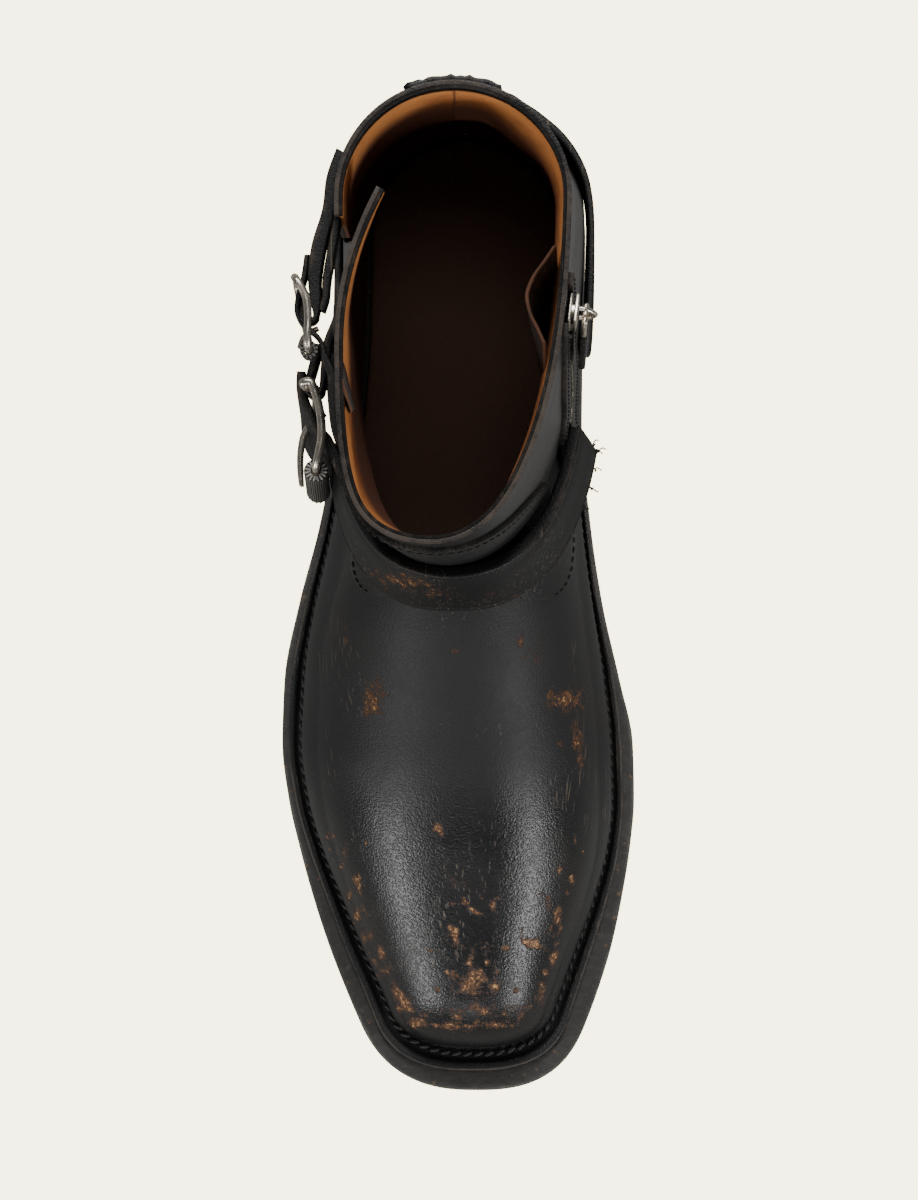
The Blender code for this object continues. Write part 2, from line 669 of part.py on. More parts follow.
def tube(name, rings, material, closed=False, smooth_angle=35):
    """A solid through rings of points, capped at both ends unless it closes on itself."""
    bm = bmesh.new()
    around = len(rings[0])
    count = len(rings) + (1 if closed else 0)

    def place(column, row):
        return rings[row % len(rings)][column % around]

    add_grid(bm, around + 1, count, place)
    bmesh.ops.remove_doubles(bm, verts=bm.verts, dist=0.001)
    if not closed:
        bmesh.ops.holes_fill(bm, edges=[edge for edge in bm.edges if edge.is_boundary], sides=0)
    bmesh.ops.recalc_face_normals(bm, faces=bm.faces)
    return new_object(name, bm, material, smooth_angle)


def wire_rings(path, radius, sides, closed=False):
    """Rings of a round wire along a path."""
    rings = []
    count = len(path)
    across = None
    for i, point in enumerate(path):
        before = path[i - 1] if closed or i else path[i]
        after = path[(i + 1) % count] if closed or i < count - 1 else path[i]
        way = (after - before).normalized()
        if across is None:
            across = way.orthogonal().normalized()
        across = (across - way * across.dot(way)).normalized()
        other = way.cross(across)
        angles = [2 * math.pi * k / sides for k in range(sides)]
        rings.append([point + (across * math.cos(a) + other * math.sin(a)) * radius for a in angles])
    return rings


def wire(name, path, radius, material, sides=8, closed=False):
    return tube(name, wire_rings(path, radius, sides, closed), material, closed, 50)


def make_patch(name, body, columns, rows, place_at, thickness, material):
    """An overlay on the upper: a grid of places found on the upper, given a thickness."""
    bm = bmesh.new()

    def place(column, row):
        return body.nearest(place_at(column, row / (rows - 1)))

    add_grid(bm, columns, rows, place)
    push_out(bm, thickness)
    return new_object(name, bm, material, 40)


def push_out(bm, thickness):
    """Gives a sheet on the upper a thickness outwards, and lifts it clear of the upper."""
    bm.normal_update()
    faces_in = sum(face.normal.dot(face.calc_center_median() - SHAFT_CENTRE) for face in bm.faces) < 0
    if faces_in:
        bmesh.ops.reverse_faces(bm, faces=bm.faces)
        bm.normal_update()
    outward = bm.verts.layers.float_vector.new("outward")
    for vert in bm.verts:
        vert[outward] = vert.normal * thickness
        vert.co += vert.normal * PATCH_LIFT
    raised = bmesh.ops.extrude_face_region(bm, geom=bm.faces[:])
    for item in raised["geom"]:
        if isinstance(item, bmesh.types.BMVert):
            item.co += item[outward]
    bmesh.ops.recalc_face_normals(bm, faces=bm.faces)


def make_overlays(body, leather):
    """Vamp tab up the front, a tab under the strap on each side, and the strip down the back."""

    tab_edges = refine(VAMP_TAB_TOP, 2)

    def vamp_place(column, share):
        edge = tab_edges[column]
        return skin(mix(VAMP_TAB_FOOT, edge.at, share), INNER if edge.turn > 0 else OUTER, abs(edge.turn))

    def back_place(column, share):
        turn = BACKSTAY_TURNS[column]
        return skin(mix(BACKSTAY_FOOT, BACKSTAY_TOP, share), INNER if turn > 0 else OUTER, 1 - abs(turn))

    make_patch("vamp_tab", body, len(tab_edges), 8, vamp_place, TAB_THICKNESS, leather)
    make_patch("backstay", body, len(BACKSTAY_TURNS), 18, back_place, TAB_THICKNESS, leather)
    make_side_tab("side_tab_lateral", body, OUTER, SIDE_TAB_OUTER, leather)
    make_side_tab("side_tab_medial", body, INNER, SIDE_TAB_INNER, leather)


def make_side_tab(name, body, side, table, leather):
    def place(column, share):
        edge = table[column]
        return body.from_side(side, edge.y, mix(edge.low, edge.high, share))[0]

    make_patch(name, body, len(table), 5, place, TAB_THICKNESS, leather)


def zip_line(z):
    """The zip's middle line on the inner side at a height."""
    return read(ZIP_LINE, "z", "y", z)


def make_zip_strip(name, body, near, far, low, high, thickness, material):
    """A strip along the zip, between two distances from its line, towards the heel."""
    bm = bmesh.new()
    heights = [mix(low, high, i / ZIP_STEPS) for i in range(ZIP_STEPS + 1)]

    def place(column, row):
        z = heights[row]
        room = SLIDER_ROOM * smooth((z - ZIP_CHAIN_TOP + 4) / 4)
        inside, outside = near, far
        if abs(near) < abs(far):
            inside += math.copysign(room, far)
        else:
            outside += math.copysign(room, near)
        return body.from_side(INNER, zip_line(z) + (inside, outside)[column], z)[0]

    add_grid(bm, 2, len(heights), place)
    push_out(bm, thickness)
    return new_object(name, bm, material, 40)


def make_zip(body, leather, metal):
    """Chain, leather edges, slider at the collar and the pull that hangs from it."""
    make_zip_strip("zip_chain", body, -2.2, 2.2, ZIP_FOOT + 3, ZIP_CHAIN_TOP - 4, 1.4, metal)
    make_zip_strip("zip_facing_front", body, -9.0, -2.8, ZIP_FOOT, ZIP_TOP, FACING_THICKNESS, leather)
    make_zip_strip("zip_facing_back", body, 2.8, 9.0, ZIP_FOOT, ZIP_TOP, FACING_THICKNESS, leather)
    place, normal = body.from_side(INNER, zip_line(SLIDER_Z), SLIDER_Z)
    up = Vector((0, zip_line(SLIDER_Z + 5) - zip_line(SLIDER_Z - 5), 10)).normalized()
    along = up.cross(normal).normalized()
    frame = Matrix((along, up, along.cross(up))).transposed()
    slider = [(-3.4, -5.5), (3.4, -5.5), (4.4, -1.0), (4.4, 4.5), (-4.4, 4.5), (-4.4, -1.0)]
    rings = [[place + frame @ Vector((a, b, out)) for a, b in slider] for out in (0.6, 3.4)]
    tube("zip_slider", rings, metal)
    hinge = place + frame @ Vector((0, HINGE_UP, HINGE_OUT))
    bail = [(-2.5, 3.7), (-2.5, 5.6), (HINGE_UP, 8.4), (3.6, 5.6), (3.6, 3.7)]
    wire("zip_bail", [place + frame @ Vector((0, b, out)) for b, out in bail], 0.7, metal, 6)
    make_pull(frame, hinge, leather, metal)


def make_pull(frame, hinge, leather, metal):
    """The ring through the bail and the tab hanging on it, flat against the boot."""
    ring = [(-2.4, 0), (2.4, 0), (3.4, -1.9), (3.4, -7.5), (-3.4, -7.5), (-3.4, -1.9)]
    wire("zip_pull", [hinge + frame @ Vector((a, b, 0)) for a, b in ring], 0.8, metal, 6, closed=True)
    tab = [(-4.6, -8.8), (4.6, -8.8), (5.0, -12), (5.0, -28), (3.2, -31), (-3.2, -31), (-5.0, -28), (-5.0, -12)]
    rings = [[hinge + frame @ Vector((a, b, out)) for a, b in tab] for out in (-1.0, 1.0)]
    tube("zip_pull_tab", rings, leather)


def make_guard(body, leather):
    """The leather flap behind the zip, standing a little into the shaft."""
    bm = bmesh.new()

    def place(column, row):
        z = mix(GUARD_FOOT, GUARD_TOP, row / 4)
        share = column / (len(GUARD_SHAPE) - 1)
        y = zip_line(z) + mix(GUARD_BACK, GUARD_FRONT, share)
        wall = body.from_side(INNER, y, z)[0].x - WALL
        return Vector((wall - GUARD_LIFT - GUARD_SHAPE[column] * (0.35 + 0.65 * row / 4), y, z))

    add_grid(bm, len(GUARD_SHAPE), 5, place)
    raised = bmesh.ops.extrude_face_region(bm, geom=bm.faces[:])
    for item in raised["geom"]:
        if isinstance(item, bmesh.types.BMVert):
            item.co.x -= GUARD_THICKNESS
    bmesh.ops.recalc_face_normals(bm, faces=bm.faces)
    new_object("zip_guard", bm, leather)


def strap_ring(top, low, out, thickness):
    """Four corners of a strap: outer top, outer low, inner low, inner top."""
    return [top, low, low - out * thickness, top - out * thickness]


def table_strap(rows, thickness):
    """Rings of a strap from a table of its outer edges, each square to its path."""
    rings = []
    tops = [Vector((row.top_x, row.top_y, row.top_z)) for row in rows]
    lows = [Vector((row.low_x, row.low_y, row.low_z)) for row in rows]
    for i, (top, low) in enumerate(zip(tops, lows)):
        before, after = max(i - 1, 0), min(i + 1, len(rows) - 1)
        along = (tops[after] + lows[after] - tops[before] - lows[before]).normalized()
        out = (top - low).cross(along).normalized()
        rings.append(strap_ring(top, low, out, thickness))
    return rings


def refine(rows, steps):
    """More rows between those of a table, on a smooth curve through them."""
    fields = rows[0]._fields
    made = []
    for i in range(len(rows) - 1):
        four = [rows[max(i - 1, 0)], rows[i], rows[i + 1], rows[min(i + 2, len(rows) - 1)]]
        for k in range(steps):
            t = k / steps
            values = []
            for field in fields:
                a, b, c, d = (getattr(row, field) for row in four)
                curve = 2 * b + (c - a) * t + (2 * a - 5 * b + 4 * c - d) * t * t
                values.append((curve + (3 * b - a - 3 * c + d) * t**3) / 2)
            made.append(type(rows[0])(*values))
    return made + [rows[-1]]


def clear_of(body, rings, clearance, limit):
    """Pushes strap rings outwards until the strap stands clear of the pieces behind it."""
    for ring in rings[:limit]:
        top, low, inner_low, inner_top = ring
        out = (low - inner_low).normalized()
        level_out = Vector((out.x, out.y, 0)).normalized()
        short = 0.0
        for k in range(7):
            point = inner_low.lerp(inner_top, k / 6)
            hit, _, _, distance = body.tree.ray_cast(point + level_out * 60, -level_out, 90)
            if hit:
                short = max(short, 60 - distance + clearance)
        if short > 0:
            for point in ring:
                point += level_out * short
    return rings


def make_instep_strap(body, leather, cutter_material):
    rows = refine(INSTEP_STRAP, 2)
    rings = clear_of(body, table_strap(rows, STRAP_THICKNESS), STRAP_CLEAR, len(rows) - 6)
    strap = tube("instep_strap", rings, leather)
    cut_slot(strap, INSTEP_SLOT, cutter_material)
    return strap


def cut_slot(strap, slot, cutter_material):
    """Cuts a buckle's prong hole through a strap."""
    corners = [(slot.front, slot.low), (slot.back, slot.low), (slot.back, slot.high), (slot.front, slot.high)]
    rings = [[Vector((x, y, z)) for y, z in corners] for x in (slot.outside, slot.inside)]
    cutter = tube(strap.name + "_cutter", rings, cutter_material)
    cutter.hide_render = True
    cutter.hide_viewport = True
    cut = strap.modifiers.new("prong_hole", "BOOLEAN")
    cut.operation = "DIFFERENCE"
    cut.solver = "EXACT"
    cut.object = cutter


def hook_rings(bar_x, bar_y, bar_radius, leather, low, high):
    """The folded end of a strap round a buckle bar, from its boot side to its outer side."""
    rings = []
    near = bar_radius + TOUCH
    for degrees in (0, -30, -60, -90, -120, -150, -180):
        way = level_way(degrees)
        inner = Vector((bar_x, bar_y, 0)) + way * near
        outer = inner + way * leather
        rings.append(flat_ring(inner, outer, low, high))
    return rings


def level_way(degrees):
    """Level direction from an upright axis."""
    return Vector((math.cos(math.radians(degrees)), math.sin(math.radians(degrees)), 0))


def flat_ring(bar_side, far_side, low, high):
    """An upright strap ring from its two faces in plan."""
    a, b = bar_side, far_side
    return [Vector((a.x, a.y, high)), Vector((a.x, a.y, low)), Vector((b.x, b.y, low)), Vector((b.x, b.y, high))]


def plan_rings(rows):
    """Upright strap rings from a table of its faces in plan and its edges."""
    return [
        flat_ring(Vector((row.bar_x, row.bar_y, 0)), Vector((row.far_x, row.far_y, 0)), row.low, row.high)
        for row in rows
    ]


def make_heel_strap(body, leather):
    """From the zip round the back of the heel to a fold over the big buckle's rear bar."""
    rings = []
    for degrees in HEEL_STRAP_ANGLES:
        way = level_way(degrees)
        share = (degrees - HEEL_STRAP_ANGLES[0]) / (HEEL_STRAP_ANGLES[-1] - HEEL_STRAP_ANGLES[0])
        dip = HEEL_STRAP_DIP * math.sin(math.pi * share)
        low, high = HEEL_STRAP_LOW - dip, HEEL_STRAP_HIGH - dip
        axis = (0.0, -35.0)
        heights = [mix(low, high, k / 6) for k in range(7)]
        nearby = [level_way(degrees + turn) for turn in (-3.5, 0, 3.5)]
        reach = max(body.reach(axis, near, z) for near in nearby for z in heights) + STRAP_CLEAR
        inner = Vector((axis[0], axis[1], 0)) + way * reach
        rings.append(flat_ring(inner + way * STRAP_THICKNESS, inner, low, high))
    rings += plan_rings(HEEL_STRAP_REACH)
    rings += hook_rings(BUCKLE_BAR_X, BUCKLE_BAR_Y, BUCKLE_WIRE, FOLD_LEATHER, HEEL_STRAP_LOW, HEEL_STRAP_HIGH)
    rings += plan_rings(HEEL_STRAP_TUCK)
    return tube("heel_strap", rings, leather)


def make_collar_straps(leather, cutter_material):
    rings = plan_rings(COLLAR_STRAP_REACH)
    rings += hook_rings(SMALL_BAR_X, SMALL_BAR_Y, SMALL_WIRE, SMALL_FOLD_LEATHER, COLLAR_STRAP_LOW,
                        COLLAR_STRAP_HIGH)
    rings += plan_rings(COLLAR_STRAP_TUCK)
    tube("collar_strap", rings, leather)
    billet = tube("collar_billet", plan_rings(refine(COLLAR_BILLET, 2)), leather)
    cut_slot(billet, COLLAR_SLOT, cutter_material)


def make_buckle(prefix, rows, wire_radius, roller, prong, metal):
    """A wire frame, the roller on its front bar and the prong from its rear bar."""
    path = [Vector((row.x, row.y, row.z)) for row in refine_loop(rows, 3)]
    wire(prefix + "_frame", path, wire_radius, metal, 8, closed=True)
    low, high = Vector(roller.low), Vector(roller.high)
    make_roller(prefix + "_roller", low, high, roller.radius, wire_radius + TOUCH, metal)
    wire(prefix + "_prong", [Vector(point) for point in prong.path], prong.radius, metal, 8)


def refine_loop(rows, steps):
    """A closed smooth curve through a table's rows."""
    wrapped = [rows[-1]] + list(rows) + [rows[0], rows[1]]
    made = refine(wrapped, steps)
    return made[steps:steps * (len(rows) + 1)]


def make_roller(name, low, high, radius, bore, metal):
    """A sleeve round the front bar."""
    axis = (high - low).normalized()
    across = axis.orthogonal().normalized()
    other = axis.cross(across)
    angles = [2 * math.pi * k / 16 for k in range(16)]
    rings = []
    for centre, size in ((low, bore), (low, radius), (high, radius), (high, bore)):
        rings.append([centre + (across * math.cos(a) + other * math.sin(a)) * size for a in angles])
    tube(name, rings, metal, closed=True)


def material(name, colour, roughness, metallic=0.0):
    made = bpy.data.materials.new(name)
    made.use_nodes = True
    shader = made.node_tree.nodes["Principled BSDF"]
    shader.inputs["Base Color"].default_value = (*colour, 1)
    shader.inputs["Roughness"].default_value = roughness
    shader.inputs["Metallic"].default_value = metallic
    return made


def main():
    for old in list(bpy.data.objects):
        bpy.data.objects.remove(old)
    collection = bpy.data.collections.new("engineer_boot")
    bpy.context.scene.collection.children.link(collection)
    black_leather = material("black_leather", (0.02, 0.02, 0.022), 0.4)
    sole_leather = material("sole_leather", (0.06, 0.045, 0.035), 0.6)
    tan_leather = material("tan_leather", (0.4, 0.18, 0.06), 0.6)
    rubber = material("heel_rubber", (0.02, 0.02, 0.02), 0.8)
    steel = material("aged_steel", (0.4, 0.38, 0.34), 0.35, 1.0)
    make_upper(black_leather)
    make_welt(black_leather)
    make_soles(sole_leather, tan_leather, rubber)
    body = Skin(["upper"])
    make_overlays(body, black_leather)
    make_zip(body, black_leather, steel)
    make_guard(body, tan_leather)
    dressed = Skin(["upper", "vamp_tab", "side_tab_lateral", "side_tab_medial", "backstay",
                    "zip_facing_front", "zip_facing_back", "zip_chain"])
    make_instep_strap(dressed, black_leather, steel)
    make_heel_strap(dressed, black_leather)
    make_collar_straps(black_leather, steel)
    make_buckle("buckle", BUCKLE_FRAME, BUCKLE_WIRE, BUCKLE_ROLLER, BUCKLE_PRONG, steel)
    make_buckle("collar_buckle", SMALL_FRAME, SMALL_WIRE, SMALL_ROLLER, SMALL_PRONG, steel)


main()
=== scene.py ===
"""Looks of a square-toe engineer boot for the right foot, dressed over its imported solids.

Tables are in millimetres and finished meshes in metres. The toe points to -Y, the medial side of
the foot is +X, and the origin is the middle of the heel's tread on the floor.
"""

import json
import logging
import math
from bisect import bisect_right
from collections.abc import Callable, Sequence
from dataclasses import dataclass, field
from enum import Enum
from itertools import accumulate

import bmesh
import bpy
from mathutils import Matrix, Vector, noise
from mathutils.bvhtree import BVHTree

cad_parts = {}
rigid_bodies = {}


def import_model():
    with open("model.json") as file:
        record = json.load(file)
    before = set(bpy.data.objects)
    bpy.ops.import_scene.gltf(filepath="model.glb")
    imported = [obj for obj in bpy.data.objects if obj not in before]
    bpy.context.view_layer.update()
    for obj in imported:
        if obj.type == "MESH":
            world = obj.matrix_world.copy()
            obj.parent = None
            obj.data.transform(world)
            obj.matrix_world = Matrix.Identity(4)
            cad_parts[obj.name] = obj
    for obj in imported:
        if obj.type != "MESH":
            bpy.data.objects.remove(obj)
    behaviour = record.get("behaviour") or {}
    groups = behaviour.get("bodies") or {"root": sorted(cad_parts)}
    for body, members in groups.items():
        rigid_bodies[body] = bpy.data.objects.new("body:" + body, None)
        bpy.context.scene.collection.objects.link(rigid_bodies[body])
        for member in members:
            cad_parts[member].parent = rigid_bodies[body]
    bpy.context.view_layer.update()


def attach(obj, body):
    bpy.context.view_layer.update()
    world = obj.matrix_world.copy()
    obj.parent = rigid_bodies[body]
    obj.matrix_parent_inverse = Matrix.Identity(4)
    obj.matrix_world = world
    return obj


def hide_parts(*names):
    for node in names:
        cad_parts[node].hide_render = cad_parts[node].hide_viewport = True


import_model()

MM = 0.001
# Vertices closer than this, in millimetres, are one.
MERGE = 0.002
# Rays from outside the boot start this far from its middle, in millimetres.
OUTSIDE = 200.0
log = logging.getLogger("boot")

Triple = tuple[float, float, float]
Colour = Triple
Rows = tuple[tuple[float, ...], ...]
Ring = list[Vector]
Mesh = bmesh.types.BMesh
Node = bpy.types.Node
Socket = bpy.types.NodeSocket


class Side(Enum):
    """The two sides of the foot, by the sign of X."""

    OUTER = -1
    INNER = 1


class Slot(Enum):
    """The record's material slots."""

    BLACK = "black_leather"
    SOLE = "sole_leather"
    TAN = "tan_leather"
    RUBBER = "heel_rubber"
    STEEL = "aged_steel"


class Body(Enum):
    """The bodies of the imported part."""

    BOOT = "boot"
    PULL = "zip_pull"


def mix(a: float, b: float, t: float) -> float:
    """The value between a and b at share t."""
    return a + (b - a) * t


def smooth(t: float) -> float:
    """Eases from 0 to 1 as t goes from 0 to 1."""
    t = min(max(t, 0.0), 1.0)
    return t * t * (3 - 2 * t)


def span(start: float, end: float, count: int) -> list[float]:
    """Evenly spaced values from start up to, but without, end."""
    return [mix(start, end, i / count) for i in range(count)]


def rounded(depth: float, reach: float, power: float) -> float:
    """Share of full width at a depth from an end that rounds over within reach."""
    short = 1 - min(max(depth / reach, 0.0), 1.0)
    return max(1 - short**power, 0.0) ** (1 / power)


def shade(red: int, green: int, blue: int) -> Colour:
    """A colour as it looks on a screen, turned into a shader's light values."""
    parts = (value / 255 for value in (red, green, blue))
    return tuple(p / 12.92 if p <= 0.04045 else ((p + 0.055) / 1.055) ** 2.4 for p in parts)


class Curve:
    """A smooth curve through a table's rows that never overshoots them."""

    def __init__(self, xs: Sequence[float], ys: Sequence[float]) -> None:
        """Keeps the rows and works out the curve's slope at each.

        Args:
            xs: Rising places.
            ys: The value at each place.
        """
        self.xs, self.ys = list(xs), list(ys)
        steps = list(zip(self.xs, self.xs[1:], self.ys, self.ys[1:]))
        slopes = [(y1 - y0) / (x1 - x0) for x0, x1, y0, y1 in steps]
        pairs = zip(slopes, slopes[1:])
        inner = [2 * p * q / (p + q) if p * q > 0 else 0.0 for p, q in pairs]
        self.slopes = [slopes[0], *inner, slopes[-1]]

    def __call__(self, x: float) -> float:
        """The curve's value at x.

        Args:
            x: A place, which may lie outside the rows.

        Returns:
            The value there.
        """
        if x <= self.xs[0]:
            return self.ys[0]
        if x >= self.xs[-1]:
            return self.ys[-1]
        i = bisect_right(self.xs, x) - 1
        h = self.xs[i + 1] - self.xs[i]
        t = (x - self.xs[i]) / h
        start = (1 + 2 * t) * (1 - t) ** 2 * self.ys[i] + t * (1 - t) ** 2 * h * self.slopes[i]
        end = t * t * (3 - 2 * t) * self.ys[i + 1] + t * t * (t - 1) * h * self.slopes[i + 1]
        return start + end


def curves(rows: Rows) -> list[Curve]:
    """One curve for each column of a table after its first."""
    columns = list(zip(*rows))
    return [Curve(columns[0], column) for column in columns[1:]]


@dataclass(frozen=True)
class Ends:
    """Where a plan's toe and heel end, and how far in they start to round over."""

    toe: float
    toe_reach: float
    toe_power: float
    heel: float
    heel_reach: float


@dataclass
class BootLast:
    """The form under the leather: sole heights, plans and the sections of the upper."""

    heights: Rows = (
        (-272, 12.5), (-240, 4.6), (-215, 0.9), (-196, 0), (-150, 0), (-120, 5), (-90, 14.5),
        (-60, 23.5), (-30, 29), (0, 31.5), (40, 33))
    plans: Rows = (
        (-272, 12, 16.5, 20, 25.5, 24.5, 32), (-256, 17.7, 22.5, 25.5, 30, 30.5, 36),
        (-240, 23.8, 27.8, 31.8, 35.4, 37.5, 42), (-225, 30.6, 33.2, 38.3, 40.6, 43.5, 46.8),
        (-209, 37.4, 39, 44.4, 45.6, 48.8, 50.3), (-193, 43.7, 43.2, 50.2, 49.2, 53.2, 52.9),
        (-178, 48.2, 44.9, 54.3, 50.4, 56.6, 54.2), (-160, 50.6, 44.5, 56.6, 49.9, 58.7, 53.8),
        (-140, 49.8, 42.4, 55.6, 47.6, 58, 49.6), (-115, 46, 38.6, 50.9, 42.6, 53, 43.8),
        (-90, 40.8, 35.4, 44.5, 38.8, 46.2, 39.8), (-60, 36, 32.4, 39.6, 35.8, 40.6, 36.8),
        (-30, 33.6, 32.4, 37, 36, 38, 37), (0, 33, 33, 36.8, 36.8, 37.7, 37.7),
        (40, 33, 33, 36.8, 36.8, 37.7, 37.7))
    bodies: Rows = (
        (30, 33, 0, 32), (45, 33, 0, 33), (62, 35.2, 0, 36.4), (80, 36.4, 0, 36),
        (100, 36.2, -0.4, 33.2), (125, 35.4, -1.2, 30.8), (155, 34.4, -2.4, 31),
        (190, 33.7, -3.7, 33))
    sections: Rows = (
        (1, -236, 50, 4.5, 3.1, 3.1), (2, -214, 55, 4.5, 2.9, 2.9), (3, -192, 61, 4, 2.6, 2.7),
        (4, -170, 67.5, 3, 2.4, 2.5), (5, -150, 75, 1.5, 2.3, 2.5), (6, -133, 83.5, 0, 2.4, 2.8),
        (7, -121, 91.5, -1, 2.7, 3.2), (8, -112.3, 99.8, -2.4, 3.3, 3.6),
        (9, -106, 110, -4, 4.6, 3.8), (10, -102.2, 122.5, -5.4, 5.8, 3.8),
        (11, -101, 137, -6.6, 7, 3.7), (12, -100, 152, -7.8, 8, 3.5), (13, -99, 168, -9, 9, 3.3),
        (14, -98.2, 184, -10, 10, 3.1))
    feet: Rows = (
        (1, -236), (2, -212), (3, -186), (4, -159), (5, -129), (6, -95), (7, -50), (8, 0))
    backs: Rows = ((9, 46.5), (10, 73), (11, 100), (12, 128), (13, 158), (14, 188))
    last_ends: Ends = Ends(-256.0, 13.0, 2.6, 33.0, 33.0)
    welt_ends: Ends = Ends(-263.5, 16.0, 2.6, 36.8, 36.8)
    sole_ends: Ends = Ends(-270.0, 22.0, 2.6, 37.7, 37.7)
    feather_rise: float = 12.9
    toe_top_reach: float = 18.0
    toe_top_power: float = 2.3
    feather_bulge: float = 1.9
    bulge_top: float = 0.45
    slit_turn: float = 0.638
    slit_start: float = 11.0
    slit_bend: float = 0.2
    slit_tuck: float = 12.0
    slit_lap: float = 9.5
    slit_gap: float = 1.4
    slit_curl: float = 2.6
    collar: float = 14.0

    def __post_init__(self) -> None:
        """Draws the tables' curves once."""
        (self.sole_bottom,) = curves(self.heights)
        names = ("last", "welt", "sole")
        columns = curves(self.plans)
        self.plan_curves = {name: columns[2 * i:2 * i + 2] for i, name in enumerate(names)}
        self.body_half, self.body_centre, self.back = curves(self.bodies)
        ridge_y, ridge_z, ridge_x, arch_outer, arch_inner = curves(self.sections)
        self.ridge_y, self.ridge_z, self.ridge_x = ridge_y, ridge_z, ridge_x
        self.arches = {Side.OUTER: arch_outer, Side.INNER: arch_inner}
        (self.foot_curve,) = curves(self.feet)
        (self.back_curve,) = curves(self.backs)

    def feather(self, y: float) -> float:
        """Height of the line where the upper meets the welt."""
        return self.sole_bottom(y) + self.feather_rise

    def plan(self, kind: str, y: float) -> tuple[float, float]:
        """Centre and half width of a plan at y, before its ends round over."""
        outer, inner = (curve(y) for curve in self.plan_curves[kind])
        return (inner - outer) / 2, (inner + outer) / 2

    def foot(self, at: float) -> float:
        """Where along the foot a section meets the welt.

        Args:
            at: The section's place.

        Returns:
            The place's y.
        """
        if at < 1:
            return mix(self.last_ends.toe, self.sections[0][1], 1 - math.cos(at * math.pi / 2))
        if at <= 8:
            return self.foot_curve(at)
        return self.last_ends.heel * math.sin((at - 8) * math.pi / 2)

    def line(self, at: float) -> tuple[tuple[float, float], tuple[float, float]]:
        """Bottom and ridge of a section's plane.

        Args:
            at: The section's place, 0 at the toe to 14 at the collar.

        Returns:
            Both ends as pairs of y and z.
        """
        y = self.foot(at)
        if at < 1:
            (_, y1, z1, *_), (_, y2, z2, *_) = self.sections[:2]
            top = z1 + (z2 - z1) / (y2 - y1) * (y - y1)
            share = rounded(y - self.last_ends.toe, self.toe_top_reach, self.toe_top_power)
            return (y, self.feather(y)), (y, mix(self.feather(y), top, share))
        ridge = (self.ridge_y(at), self.ridge_z(at))
        if at <= 9:
            return (y, self.feather(y)), ridge
        z = self.back_curve(at)
        return (self.back(z), z), ridge

    def skin(self, at: float, side: Side, turn: float) -> Vector:
        """Point on the outer face of the upper, in millimetres.

        Args:
            at: The section's place, 0 at the toe to 14 at the collar.
            side: The side of the foot.
            turn: Turn round the section, 0 at the ridge to 1 at the bottom.

        Returns:
            The point.
        """
        bottom, ridge = self.line(at)
        closed = smooth((at - 6) / 3)
        share = mix(math.cos(math.pi * turn / 2), (1 + math.cos(math.pi * turn)) / 2, closed)
        share = min(max(share, 0.0), 1.0)
        y, z = mix(bottom[0], ridge[0], share), mix(bottom[1], ridge[1], share)
        over = max(1 - share ** self.arches[side](at), 0.0) ** 0.5
        centre, half = self.plan("last", y)
        ends = self.last_ends
        toe_share = rounded(y - ends.toe, ends.toe_reach, ends.toe_power)
        swell = math.sin(math.pi * min(share / self.bulge_top, 1.0))
        bulge = self.feather_bulge * toe_share * swell
        half = half * toe_share + bulge
        ankle = smooth((z - self.feather(y) - 2) / 35) * smooth((y + 125) / 60)
        centre = mix(centre, self.body_centre(z), ankle)
        half = mix(half, self.body_half(z), ankle)
        half *= rounded(self.back(z) - y, ends.heel_reach, 2.0)
        x = centre + side.value * half * over + (self.ridge_x(at) - centre) * (1 - over)
        if side is Side.OUTER and turn <= self.slit_turn and at > self.slit_start:
            x, y = self.tucked(at, turn, x, y)
        return Vector((x, y, z))

    def tucked(self, at: float, turn: float, x: float, y: float) -> tuple[float, float]:
        """The front panel's edge, moved in behind the back panel towards the collar.

        Args:
            at: The section's place.
            turn: Turn round the section.
            x: The point's x before.
            y: The point's y before.

        Returns:
            The point's x and y after.
        """
        opening = smooth((at - self.slit_start) / (self.collar - self.slit_start))
        bend = max((turn - self.slit_turn + self.slit_bend) / self.slit_bend, 0.0) ** self.slit_curl
        tuck = self.slit_tuck * opening
        gap = self.slit_gap * min((at - self.slit_start) / 0.4, 1.0)
        lap = self.slit_lap * smooth((tuck - 4.0) / 7.0)
        return x + tuck * bend, y + (lap - gap) * bend

    def edges(self, kind: str, ends: Ends, y: float) -> tuple[Vector, Vector]:
        """Both edges of a plan at one station.

        Args:
            kind: The plan's name.
            ends: Where the plan ends.
            y: The station.

        Returns:
            The outer and the inner edge.
        """
        centre, half = self.plan(kind, y)
        width = half * rounded(y - ends.toe, ends.toe_reach, ends.toe_power)
        width *= rounded(ends.heel - y, ends.heel_reach, 2.0)
        return Vector((centre - width, y, 0)), Vector((centre + width, y, 0))


def grid(bm: Mesh, columns: int, rows: int,
         place: Callable[[int, int], Vector]) -> list[bmesh.types.BMVert]:
    """Adds a grid of vertices, each moved to its place.

    Args:
        bm: The mesh to add to.
        columns: Vertices across.
        rows: Vertices along.
        place: Gives the place of the vertex at a column and a row.

    Returns:
        The grid's vertices.
    """
    made = bmesh.ops.create_grid(bm, x_segments=columns - 1, y_segments=rows - 1, size=0.5)["verts"]
    for vert in made:
        column = round((vert.co.x + 0.5) * (columns - 1))
        row = round((vert.co.y + 0.5) * (rows - 1))
        vert.co = place(column, row)
    return made


